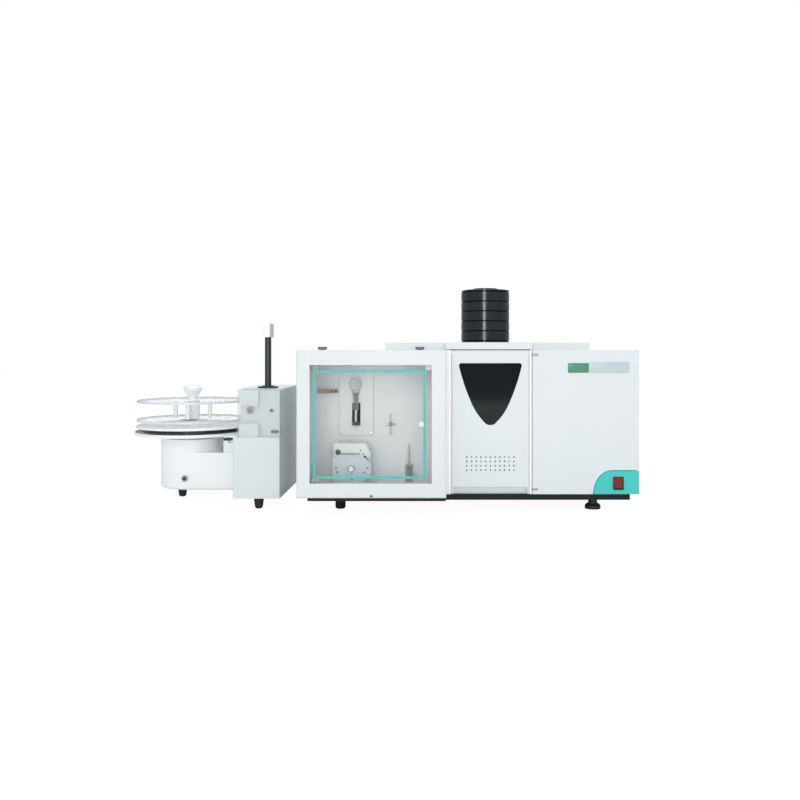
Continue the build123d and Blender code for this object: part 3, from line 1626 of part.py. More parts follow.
# Sampler base: a round-ended housing with a raised drum under the tray
base_right = tower_left


def base_plan(inset):
    """Round end about the tray axis, running on to the tower."""
    with BuildSketch() as plan:
        with Locations((tray_x, tray_y)):
            Circle(base_radius - inset)
        with Locations(((tray_x + base_right) / 2, tray_y)):
            Rectangle(base_right - tray_x, 2 * (base_radius - inset))
    return plan.sketch


button_mid_z = sampler_bottom + button_rise
button_x = tray_x + base_radius * sin(radians(button_angle))
button_face = tray_y - base_radius - button_collar
with BuildPart() as sampler_base:
    with BuildSketch(Plane.XY.offset(sampler_bottom)):
        add(base_plan(0))
    extrude(amount=base_height)
    fillet(sampler_base.faces().sort_by(Axis.Z)[0].edges().filter_by(GeomType.CIRCLE), radius=base_fillet)
    with BuildSketch(Plane.XY.offset(sampler_bottom + base_shell)):
        add(base_plan(base_shell))
    extrude(amount=base_height - 2 * base_shell, mode=Mode.SUBTRACT)
    with BuildSketch(Plane.XY.offset(base_top)):
        with Locations((tray_x, tray_y)):
            Circle(base_radius)
            Circle(base_radius - base_shell, mode=Mode.SUBTRACT)
    extrude(amount=base_step_height)
    with BuildSketch(Plane.XY.offset(step_top - base_shell)):
        with Locations((tray_x, tray_y)):
            Circle(base_radius)
    extrude(amount=base_shell)
    with BuildSketch(facing(button_face, button_x, button_mid_z)):
        Circle(button_radius + button_collar)
    extrude(amount=-button_length - button_collar)
    with BuildSketch(facing(button_face, button_x, button_mid_z)):
        Circle(button_radius + guide_gap)
    extrude(amount=-button_length - button_proud, mode=Mode.SUBTRACT)
sampler_base.part.label = "sampler_base"
export_step(sampler_base.part, "parts/sampler_base.step")

# Push button in its collar
with BuildPart() as sampler_button:
    with BuildSketch(facing(button_face - button_proud, button_x, button_mid_z)):
        Circle(button_radius)
    extrude(amount=-button_proud - button_length)
    chamfer(sampler_button.faces().sort_by(Axis.Y)[0].edges(), length=overrun)
sampler_button.part.label = "sampler_button"
export_step(sampler_button.part, "parts/sampler_button.step")

# Carousel sizes: a fixed drip tray, then the turntable with two tube plates on posts
tray_standoff = 10.0
tray_height = 8.0
tray_floor = 3.0
tray_rim = 3.0
tray_hub_radius = 40.0
table_gap = 1.0
table_radius = 143.0
drum_inset = 13.0
drum_height = 9.0
table_thick = 6.0
table_bevel = 2.0
spindle_radius = 12.0
plate_radius = 141.0
plate_thick = 5.0
lower_hub_radius = 38.0
lower_hub_height = 11.0
plate_spacing = 44.0
post_radius = 6.0
post_circle = 45.5
post_count = 4
hub_radius = 18.0
tube_count = 24
tube_circle = 126.0
tube_radius = 8.5
inner_tube_count = 12
inner_tube_circle = 92.0
cup_floor = 1.5
knob_foot_radius = 13.0
knob_foot_height = 8.0
knob_top_radius = 24.0
knob_height = 38.0
knob_brim = 12.0

tray_bottom = step_top + tray_standoff
tray_top = tray_bottom + tray_height
drum_bottom = tray_top + table_gap
table_bottom = drum_bottom + drum_height
table_top = table_bottom + table_thick
lower_plate_z = table_top + lower_hub_height
upper_plate_z = lower_plate_z + plate_thick + plate_spacing
knob_bottom = upper_plate_z + plate_thick

# Drip tray on its hub, bored for the carousel spindle
with BuildPart() as drip_tray:
    with BuildSketch(upright(tray_x, tray_y)):
        with BuildLine():
            Polyline(
                (spindle_radius + running_gap, step_top),
                (tray_hub_radius, step_top),
                (tray_hub_radius, tray_bottom),
                (tray_radius, tray_bottom),
                (tray_radius, tray_top),
                (tray_radius - tray_rim, tray_top),
                (tray_radius - tray_rim, tray_bottom + tray_floor),
                (spindle_radius + running_gap, tray_bottom + tray_floor),
                close=True,
            )
        make_face()
    revolve(axis=standing(tray_x, tray_y))
drip_tray.part.label = "drip_tray"
export_step(drip_tray.part, "parts/drip_tray.step")

# Turntable: a bevelled disc on a narrower drum, with the spindle below and the lower hub above
with BuildPart() as turntable:
    with BuildSketch(upright(tray_x, tray_y)):
        with BuildLine():
            Polyline(
                (0, step_top),
                (spindle_radius, step_top),
                (spindle_radius, drum_bottom),
                (table_radius - drum_inset, drum_bottom),
                (table_radius - drum_inset, table_bottom),
                (table_radius, table_bottom),
                (table_radius, table_top - table_bevel),
                (table_radius - table_bevel, table_top),
                (lower_hub_radius, table_top),
                (lower_hub_radius, lower_plate_z),
                (0, lower_plate_z),
                close=True,
            )
        make_face()
    revolve(axis=standing(tray_x, tray_y))
turntable.part.label = "turntable"
export_step(turntable.part, "parts/turntable.step")

# Tube plates: each has an outer and an inner ring of holes, and the lower one's are cups
with BuildPart() as tube_plates:
    for plate_z in (lower_plate_z, upper_plate_z):
        with BuildSketch(Plane.XY.offset(plate_z)):
            with Locations((tray_x, tray_y)):
                Circle(plate_radius)
        extrude(amount=plate_thick)
    for floor_z in (lower_plate_z + cup_floor, upper_plate_z):
        with BuildSketch(Plane.XY.offset(floor_z)):
            with Locations((tray_x, tray_y)):
                with PolarLocations(tube_circle, tube_count):
                    Circle(tube_radius)
                with PolarLocations(inner_tube_circle, inner_tube_count):
                    Circle(tube_radius)
        extrude(amount=plate_thick, mode=Mode.SUBTRACT)
tube_plates.part.label = "tube_plates"
export_step(tube_plates.part, "parts/tube_plates.step")

# Posts and hub between the plates
with BuildPart() as carousel_posts:
    with BuildSketch(Plane.XY.offset(lower_plate_z + plate_thick)):
        with Locations((tray_x, tray_y)):
            Circle(hub_radius)
            with PolarLocations(post_circle, post_count):
                Circle(post_radius)
    extrude(amount=plate_spacing)
carousel_posts.part.label = "carousel_posts"
export_step(carousel_posts.part, "parts/carousel_posts.step")

# Mushroom knob: a narrow foot that swells into a domed brim
brim_z = knob_bottom + knob_height - knob_brim
knob_waist_radius = (knob_foot_radius + knob_top_radius) / 2 - overrun
with BuildPart() as carousel_knob:
    with BuildSketch(upright(tray_x, tray_y)):
        with BuildLine():
            Line((0, knob_bottom), (knob_foot_radius, knob_bottom))
            Line((knob_foot_radius, knob_bottom), (knob_foot_radius, knob_bottom + knob_foot_height))
            ThreePointArc(
                (knob_foot_radius, knob_bottom + knob_foot_height),
                (knob_waist_radius, (knob_bottom + knob_foot_height + brim_z) / 2),
                (knob_top_radius, brim_z),
            )
            Line((knob_top_radius, brim_z), (knob_top_radius, brim_z + knob_brim / 2))
            Line((knob_top_radius, brim_z + knob_brim / 2), (knob_top_radius - knob_brim / 2, brim_z + knob_brim))
            Line((knob_top_radius - knob_brim / 2, brim_z + knob_brim), (0, brim_z + knob_brim))
            Line((0, brim_z + knob_brim), (0, knob_bottom))
        make_face()
    revolve(axis=standing(tray_x, tray_y))
carousel_knob.part.label = "carousel_knob"
export_step(carousel_knob.part, "parts/carousel_knob.step")

# Position sensor beside the drum: a block with a fork slot
sensor_start = 100.0
sensor_width = 24.0
sensor_depth = 24.0
sensor_setback = 62.0
sensor_height = 36.0
sensor_slot_width = 12.0
sensor_slot_height = 5.0
sensor_slot_drop = 6.0
sensor_x = tray_x + sensor_start + sensor_width / 2
with BuildPart() as tray_sensor:
    with BuildSketch(facing(tray_y - sensor_setback - sensor_depth / 2, sensor_x, base_top)):
        with Locations((0, sensor_height / 2)):
            Rectangle(sensor_width, sensor_height)
        with Locations((sensor_width / 2, sensor_height - sensor_slot_drop - sensor_slot_height / 2)):
            Rectangle(2 * sensor_slot_width, sensor_slot_height, mode=Mode.SUBTRACT)
    extrude(amount=-sensor_depth)
tray_sensor.part.label = "tray_sensor"
export_step(tray_sensor.part, "parts/tray_sensor.step")

# Tower: a lower box and a narrower upper box behind the clear cover
tower_step = 11.0
tower_corner = 3.0
upper_left = tower_left + tower_step
upper_mid_x = (upper_left + tower_right) / 2
with BuildPart() as tower_case:
    with BuildSketch(Plane.XY.offset(sampler_bottom)):
        with Locations((tower_mid_x, tower_front + tower_depth / 2)):
            RectangleRounded(tower_width, tower_depth, tower_corner)
    extrude(amount=tower_base_height)
    with BuildSketch(Plane.XY.offset(tower_shoulder)):
        with Locations((upper_mid_x, (cover_rear + tower_rear) / 2)):
            Rectangle(tower_right - upper_left, tower_rear - cover_rear)
    extrude(amount=tower_top - tower_shoulder)
    fillet(tower_case.faces().sort_by(Axis.Z)[-1].edges(), radius=tower_corner - overrun)
    with BuildSketch(Plane.XY.offset(sampler_bottom + tower_wall)):
        with Locations((tower_mid_x, tower_front + tower_depth / 2)):
            Rectangle(tower_width - 2 * tower_wall, tower_depth - 2 * tower_wall)
    extrude(amount=tower_base_height - 2 * tower_wall, mode=Mode.SUBTRACT)
    with BuildSketch(Plane.XY.offset(sampler_bottom + tower_wall)):
        with Locations((upper_mid_x, (cover_rear + tower_rear) / 2)):
            Rectangle(tower_right - upper_left - 2 * tower_wall, tower_rear - cover_rear - 2 * tower_wall)
    extrude(amount=tower_top - sampler_bottom - 2 * tower_wall, mode=Mode.SUBTRACT)
    with BuildSketch(Plane.XY.offset(tower_top)):
        with Locations((column_x, column_y)):
            Circle(column_radius + guide_gap)
    extrude(amount=-2 * tower_wall, mode=Mode.SUBTRACT)
tower_case.part.label = "tower_case"
export_step(tower_case.part, "parts/tower_case.step")

# Clear cover on the front of the tower, open to the back and below
cover_thick = 2.5
with BuildPart() as clear_cover:
    with BuildSketch(Plane.XY.offset(tower_shoulder)):
        with Locations((upper_mid_x, (tower_front + cover_rear) / 2)):
            Rectangle(tower_right - upper_left, tower_front_depth)
    extrude(amount=tower_top - tower_shoulder)
    fillet(clear_cover.edges().filter_by(Axis.Z).group_by(Axis.Y)[0], radius=tower_corner)
    with BuildSketch(Plane.XY.offset(tower_shoulder)):
        with Locations((upper_mid_x, (tower_front + cover_rear) / 2 + cover_thick)):
            Rectangle(tower_right - upper_left - 2 * cover_thick, tower_front_depth)
    extrude(amount=tower_top - tower_shoulder - cover_thick, mode=Mode.SUBTRACT)
clear_cover.part.label = "clear_cover"
export_step(clear_cover.part, "parts/clear_cover.step")

# Flange that guides the column
with BuildPart() as column_flange:
    with BuildSketch(upright(column_x, column_y)):
        with BuildLine():
            Polyline(
                (column_radius + guide_gap, tower_top),
                (flange_radius, tower_top),
                (flange_radius, tower_top + flange_height - flange_step - overrun),
                (flange_radius - overrun, tower_top + flange_height - flange_step),
                (flange_step_radius, tower_top + flange_height - flange_step),
                (flange_step_radius, tower_top + flange_height),
                (column_radius + guide_gap, tower_top + flange_height),
                close=True,
            )
        make_face()
    revolve(axis=standing(column_x, column_y))
column_flange.part.label = "column_flange"
export_step(column_flange.part, "parts/column_flange.step")

# Column: most of its hidden length stays inside the tower when it is down
column_hidden_length = 164.0
head_width = 18.0
head_depth = 56.0
head_height = 34.0
head_bore = 12.0
probe_bore_radius = 2.0
probe_inset = 9.0
column_top = sampler_bottom + column_top_rise
with BuildPart() as column:
    with BuildSketch(Plane.XY.offset(tower_top - column_hidden_length)):
        with Locations((column_x, column_y)):
            Circle(column_radius)
    extrude(amount=column_top - tower_top + column_hidden_length)
column.part.label = "column"
export_step(column.part, "parts/column.step")

# Probe head: it grips the top of the column and is bored for the probe at its front end
head_bottom = column_top - head_bore
with BuildPart() as probe_head:
    with BuildSketch(Plane.YZ.offset(column_x - head_width / 2)):
        with Locations((column_y, head_bottom + head_height / 2)):
            RectangleRounded(head_depth, head_height, bend)
    extrude(amount=head_width)
    with BuildSketch(Plane.XY.offset(head_bottom)):
        with Locations((column_x, column_y)):
            Circle(column_radius)
    extrude(amount=head_bore, mode=Mode.SUBTRACT)
    with BuildSketch(Plane.XY.offset(head_bottom)):
        with Locations((column_x, column_y - head_depth / 2 + probe_inset)):
            Circle(probe_bore_radius)
    extrude(amount=head_height, mode=Mode.SUBTRACT)
probe_head.part.label = "probe_head"
export_step(probe_head.part, "parts/probe_head.step")

# Rinse pump behind the clear cover: a back block, two front blocks and a boss
pump_block_depth = 27.0
front_block_width = 46.0
front_block_depth = 19.0
upper_block_height = 36.5
lower_block_height = 32.0
rinse_knob_radius = 8.5
rinse_knob_length = 9.0
rinse_pin_radius = 3.0
rinse_pin_length = 12.0
rinse_inset = 27.0
rinse_rise = 64.0
boss_radius = 6.5
boss_length = 8.0
boss_inset = 23.0
pump_block_front = cover_rear - pump_block_depth
block_left = upper_left + cover_thick + overrun
block_right = tower_right - cover_thick - overrun
block_top = tower_top - cover_thick - overrun
rinse_x = upper_left + rinse_inset
rinse_z = tower_shoulder + rinse_rise
with BuildPart() as rinse_pump:
    with BuildSketch(facing(pump_block_front)):
        with Locations(((block_left + block_right) / 2, (tower_shoulder + block_top) / 2)):
            Rectangle(block_right - block_left, block_top - tower_shoulder)
    extrude(amount=-pump_block_depth)
    with BuildSketch(facing(pump_block_front)):
        with Locations((block_left + front_block_width / 2, block_top - upper_block_height / 2)):
            Rectangle(front_block_width, upper_block_height)
        with Locations((block_left + front_block_width / 2, tower_shoulder + lower_block_height / 2)):
            Rectangle(front_block_width, lower_block_height)
    extrude(amount=front_block_depth)
    with BuildSketch(facing(pump_block_front, tower_right - boss_inset, rinse_z)):
        Circle(boss_radius)
    extrude(amount=boss_length)
    with BuildSketch(facing(pump_block_front, rinse_x, rinse_z)):
        Circle(rinse_pin_radius + running_gap)
    extrude(amount=-rinse_pin_length - running_gap, mode=Mode.SUBTRACT)
rinse_pump.part.label = "rinse_pump"
export_step(rinse_pump.part, "parts/rinse_pump.step")

with BuildPart() as rinse_knob:
    with BuildSketch(facing(pump_block_front - rotor_gap, rinse_x, rinse_z)):
        Circle(rinse_knob_radius)
    extrude(amount=rinse_knob_length)
    chamfer(rinse_knob.faces().sort_by(Axis.Y)[0].edges(), length=overrun)
    with BuildSketch(facing(pump_block_front - rotor_gap, rinse_x, rinse_z)):
        Circle(rinse_pin_radius)
    extrude(amount=-rinse_pin_length)
rinse_knob.part.label = "rinse_knob"
export_step(rinse_knob.part, "parts/rinse_knob.step")
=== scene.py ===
import math

import bmesh
import bpy
from mathutils import Matrix, Vector


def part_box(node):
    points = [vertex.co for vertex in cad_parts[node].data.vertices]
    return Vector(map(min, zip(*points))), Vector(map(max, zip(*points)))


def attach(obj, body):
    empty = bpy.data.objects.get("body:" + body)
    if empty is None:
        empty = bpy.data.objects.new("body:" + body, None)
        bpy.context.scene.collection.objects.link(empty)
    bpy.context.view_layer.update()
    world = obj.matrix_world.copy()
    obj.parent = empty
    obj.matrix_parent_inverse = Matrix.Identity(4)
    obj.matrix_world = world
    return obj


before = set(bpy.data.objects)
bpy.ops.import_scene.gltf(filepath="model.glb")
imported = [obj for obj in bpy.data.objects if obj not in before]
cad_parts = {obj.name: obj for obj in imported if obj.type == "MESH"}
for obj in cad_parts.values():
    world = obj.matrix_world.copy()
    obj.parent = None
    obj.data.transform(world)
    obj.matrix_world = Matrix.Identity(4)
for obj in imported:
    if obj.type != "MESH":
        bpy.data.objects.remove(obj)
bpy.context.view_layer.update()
print("frame loaded", len(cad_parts))

# View, camera and light

view = {"position": (0.1385, -2.174, 0.389), "lens": 37.35, "sensor": 36.0, "shift": (-0.0375, -0.0625)}
studio = {
    "worldStrength": 0.44,
    "keyPlace": (-2.2, -2.6, 2.2), "keySize": 2.6, "keyPower": 14.0,
    "fillPlace": (2.6, -2.4, 2.2), "fillSize": 2.4, "fillPower": 18.0,
    "frontPlace": (0.1, -4.2, 0.85), "frontSize": 2.6, "frontPower": 58.0,
    "topPlace": (0.0, 0.2, 3.6), "topSize": 3.2, "topPower": 42.0,
    "stripPlace": (-0.22, -3.4, 1.2), "stripSize": 0.4, "stripHeight": 2.2, "stripPower": 44.0,
    "backPlace": (-0.5, 3.2, 2.4), "backSize": 2.6, "backPower": 30.0,
    "aimPlace": (0, 0, 0.25), "worldColour": (0.97, 0.985, 1.0, 1), "seenColour": (1, 1, 1, 1),
}
floorLook = {"colour": (0.93, 0.94, 0.945, 1), "roughness": 0.85, "glow": 1.06, "seenShare": 0.9, "size": 12.0}


def placeCamera():
    data = bpy.data.cameras.new("photoCamera")
    data.lens = view["lens"]
    data.sensor_width = view["sensor"]
    data.shift_x, data.shift_y = view["shift"]
    data.clip_start = 0.01
    camera = bpy.data.objects.new("photoCamera", data)
    camera.location = view["position"]
    camera.rotation_euler = (math.radians(90), 0, 0)
    bpy.context.scene.collection.objects.link(camera)
    bpy.context.scene.camera = camera


def areaLamp(name, place, size, power, height=None):
    data = bpy.data.lights.new(name, "AREA")
    data.shape = "RECTANGLE" if height else "DISK"
    data.size = size
    data.size_y = height or size
    data.energy = power
    lamp = bpy.data.objects.new(name, data)
    lamp.location = place
    aim = Vector(studio["aimPlace"]) - Vector(place)
    lamp.rotation_euler = aim.to_track_quat("-Z", "Y").to_euler()
    bpy.context.scene.collection.objects.link(lamp)
    return lamp


def lightStudio():
    for name in ("key", "fill", "front", "strip", "top", "back"):
        lamp = areaLamp(
            name + "Lamp", studio[name + "Place"], studio[name + "Size"], studio[name + "Power"],
            studio.get(name + "Height"))
        lamp.visible_glossy = name != "front"
        # the strip only draws the narrow highlight on the black rings
        lamp.visible_diffuse = name != "strip"
    world = bpy.data.worlds.new("studioWorld")
    bpy.context.scene.world = world
    world.use_nodes = True
    tree = world.node_tree
    tree.nodes.clear()
    output = tree.nodes.new("ShaderNodeOutputWorld")
    soft = tree.nodes.new("ShaderNodeBackground")
    soft.inputs["Color"].default_value = studio["worldColour"]
    soft.inputs["Strength"].default_value = studio["worldStrength"]
    seen = tree.nodes.new("ShaderNodeBackground")
    seen.inputs["Color"].default_value = studio["seenColour"]
    path = tree.nodes.new("ShaderNodeLightPath")
    rays = tree.nodes.new("ShaderNodeMath")
    rays.operation = "MAXIMUM"
    tree.links.new(path.outputs["Is Camera Ray"], rays.inputs[0])
    tree.links.new(path.outputs["Is Transmission Ray"], rays.inputs[1])
    mix = tree.nodes.new("ShaderNodeMixShader")
    tree.links.new(rays.outputs[0], mix.inputs["Fac"])
    tree.links.new(soft.outputs[0], mix.inputs[1])
    tree.links.new(seen.outputs[0], mix.inputs[2])
    tree.links.new(mix.outputs[0], output.inputs["Surface"])
    bpy.context.scene.view_settings.view_transform = "Standard"


def layFloor():
    material = bpy.data.materials.new("studioFloor")
    material.use_nodes = True
    tree = material.node_tree
    shader = tree.nodes["Principled BSDF"]
    shader.inputs["Base Color"].default_value = floorLook["colour"]
    shader.inputs["Roughness"].default_value = floorLook["roughness"]
    glow = tree.nodes.new("ShaderNodeEmission")
    glow.inputs["Strength"].default_value = floorLook["glow"]
    path = tree.nodes.new("ShaderNodeLightPath")
    share = tree.nodes.new("ShaderNodeMath")
    share.operation = "MULTIPLY"
    share.inputs[1].default_value = floorLook["seenShare"]
    tree.links.new(path.outputs["Is Camera Ray"], share.inputs[0])
    mix = tree.nodes.new("ShaderNodeMixShader")
    tree.links.new(share.outputs[0], mix.inputs["Fac"])
    tree.links.new(shader.outputs[0], mix.inputs[1])
    tree.links.new(glow.outputs[0], mix.inputs[2])
    tree.links.new(mix.outputs[0], tree.nodes["Material Output"].inputs["Surface"])
    mesh = bpy.data.meshes.new("studioFloor")
    shape = bmesh.new()
    bmesh.ops.create_grid(shape, x_segments=1, y_segments=1, size=floorLook["size"])
    shape.to_mesh(mesh)
    shape.free()
    floor = bpy.data.objects.new("studioFloor", mesh)
    mesh.materials.append(material)
    bpy.context.scene.collection.objects.link(floor)


placeCamera()
lightStudio()
layFloor()
print("camera, light and floor ready")

# Finishes


def newFinish(name):
    material = bpy.data.materials.new(name)
    material.use_nodes = True
    tree = material.node_tree
    where = tree.nodes.new("ShaderNodeTexCoord")
    return material, tree, tree.nodes["Principled BSDF"], where.outputs["Object"]


def grain(tree, where, scale, detail=3.0, rough=0.5, stretch=None):
    if stretch:
        turn = tree.nodes.new("ShaderNodeMapping")
        turn.inputs["Scale"].default_value = stretch
        tree.links.new(where, turn.inputs["Vector"])
        where = turn.outputs["Vector"]
    noise = tree.nodes.new("ShaderNodeTexNoise")
    noise.inputs["Scale"].default_value = scale
    noise.inputs["Detail"].default_value = detail
    noise.inputs["Roughness"].default_value = rough
    tree.links.new(where, noise.inputs["Vector"])
    return noise.outputs["Fac"]


def spread(tree, value, low, high, start=0.35, end=0.65):
    fit = tree.nodes.new("ShaderNodeMapRange")
    fit.inputs["From Min"].default_value = start
    fit.inputs["From Max"].default_value = end
    fit.inputs["To Min"].default_value = low
    fit.inputs["To Max"].default_value = high
    tree.links.new(value, fit.inputs["Value"])
    return fit.outputs["Result"]


def blendColours(tree, share, first, second):
    mix = tree.nodes.new("ShaderNodeMix")
    mix.data_type = "RGBA"
    tree.links.new(share, mix.inputs["Factor"])
    for socket, colour in ((6, first), (7, second)):
        if isinstance(colour, bpy.types.NodeSocket):
            tree.links.new(colour, mix.inputs[socket])
        else:
            mix.inputs[socket].default_value = (*colour, 1)
    return mix.outputs[2]


def raised(tree, shader, height, strength, distance):
    bump = tree.nodes.new("ShaderNodeBump")
    bump.inputs["Strength"].default_value = strength
    bump.inputs["Distance"].default_value = distance
    tree.links.new(height, bump.inputs["Height"])
    tree.links.new(bump.outputs["Normal"], shader.inputs["Normal"])


def feed(tree, value, shader, socket):
    tree.links.new(value, shader.inputs[socket])


def scaled(colour, share):
    return tuple(share * c for c in colour)


def powderCoat(name, colour, dusty, roughness=0.42, peel=0.00005, specular=0.45):
    # paint in two clouded tones with fine specks and an orange-peel surface
    material, tree, shader, where = newFinish(name)
    cloud = spread(tree, grain(tree, where, scale=5.0, detail=4.0), 0.0, 1.0)
    body = blendColours(tree, cloud, colour, dusty)
    speck = spread(tree, grain(tree, where, scale=1400.0, detail=2.0), 0.0, 0.35, start=0.62, end=0.78)
    feed(tree, blendColours(tree, speck, body, scaled(colour, 0.82)), shader, "Base Color")
    sheen = grain(tree, where, scale=30.0, detail=5.0)
    feed(tree, spread(tree, sheen, roughness - 0.05, roughness + 0.07), shader, "Roughness")
    shader.inputs["Specular IOR Level"].default_value = specular
    raised(tree, shader, grain(tree, where, scale=700.0, detail=2.0), strength=0.35, distance=peel)
    return material


def mouldedPlastic(name, colour, shade, roughness=0.35, pebble=900.0, depth=0.00006, coat=0.0):
    # plastic in two clouded tones with a pebbled surface and, where asked, a clear coat
    material, tree, shader, where = newFinish(name)
    cloud = spread(tree, grain(tree, where, scale=14.0, detail=3.0), 0.0, 1.0)
    feed(tree, blendColours(tree, cloud, colour, shade), shader, "Base Color")
    sheen = grain(tree, where, scale=90.0, detail=4.0)
    feed(tree, spread(tree, sheen, roughness - 0.06, roughness + 0.08), shader, "Roughness")
    shader.inputs["Coat Weight"].default_value = coat
    shader.inputs["Coat Roughness"].default_value = 0.08
    raised(tree, shader, grain(tree, where, scale=pebble, detail=2.0), strength=0.3, distance=depth)
    return material


def glossBlack(name, colour, roughness, specular):
    # a smooth dark surface that hardly waves
    material, tree, shader, where = newFinish(name)
    cloud = spread(tree, grain(tree, where, scale=6.0, detail=3.0), 0.0, 1.0)
    feed(tree, blendColours(tree, cloud, colour, scaled(colour, 1.3)), shader, "Base Color")
    sheen = grain(tree, where, scale=20.0, detail=4.0)
    feed(tree, spread(tree, sheen, roughness, roughness + 0.03), shader, "Roughness")
    shader.inputs["Specular IOR Level"].default_value = specular
    raised(tree, shader, grain(tree, where, scale=12.0, detail=2.0), strength=0.04, distance=0.0003)
    return material


def brushedMetal(name, colour, shade, stretch, roughness=0.3):
    # metal with strokes drawn out along one way
    material, tree, shader, where = newFinish(name)
    strokes = grain(tree, where, scale=60.0, detail=6.0, rough=0.7, stretch=stretch)
    feed(tree, blendColours(tree, spread(tree, strokes, 0.0, 1.0), colour, shade), shader, "Base Color")
    feed(tree, spread(tree, strokes, roughness - 0.08, roughness + 0.12), shader, "Roughness")
    shader.inputs["Metallic"].default_value = 1.0
    raised(tree, shader, strokes, strength=0.25, distance=0.00004)
    return material


def clearSheet(name, tint, facing, grazing, roughness=0.04):
    # clear sheet whose cover goes from the facing share to the grazing one as it tilts
    material, tree, shader, where = newFinish(name)
    haze = spread(tree, grain(tree, where, scale=8.0, detail=4.0), 0.0, 1.0)
    feed(tree, blendColours(tree, haze, tint, scaled(tint, 0.93)), shader, "Base Color")
    sheen = grain(tree, where, scale=45.0, detail=5.0)
    feed(tree, spread(tree, sheen, roughness, roughness + 0.05), shader, "Roughness")
    shader.inputs["Specular IOR Level"].default_value = 0.9
    tilt = tree.nodes.new("ShaderNodeLayerWeight")
    tilt.inputs["Blend"].default_value = 0.35
    feed(tree, spread(tree, tilt.outputs["Fresnel"], facing, grazing, start=0.04, end=0.9), shader, "Alpha")
    raised(tree, shader, grain(tree, where, scale=25.0, detail=2.0), strength=0.05, distance=0.0002)
    return material


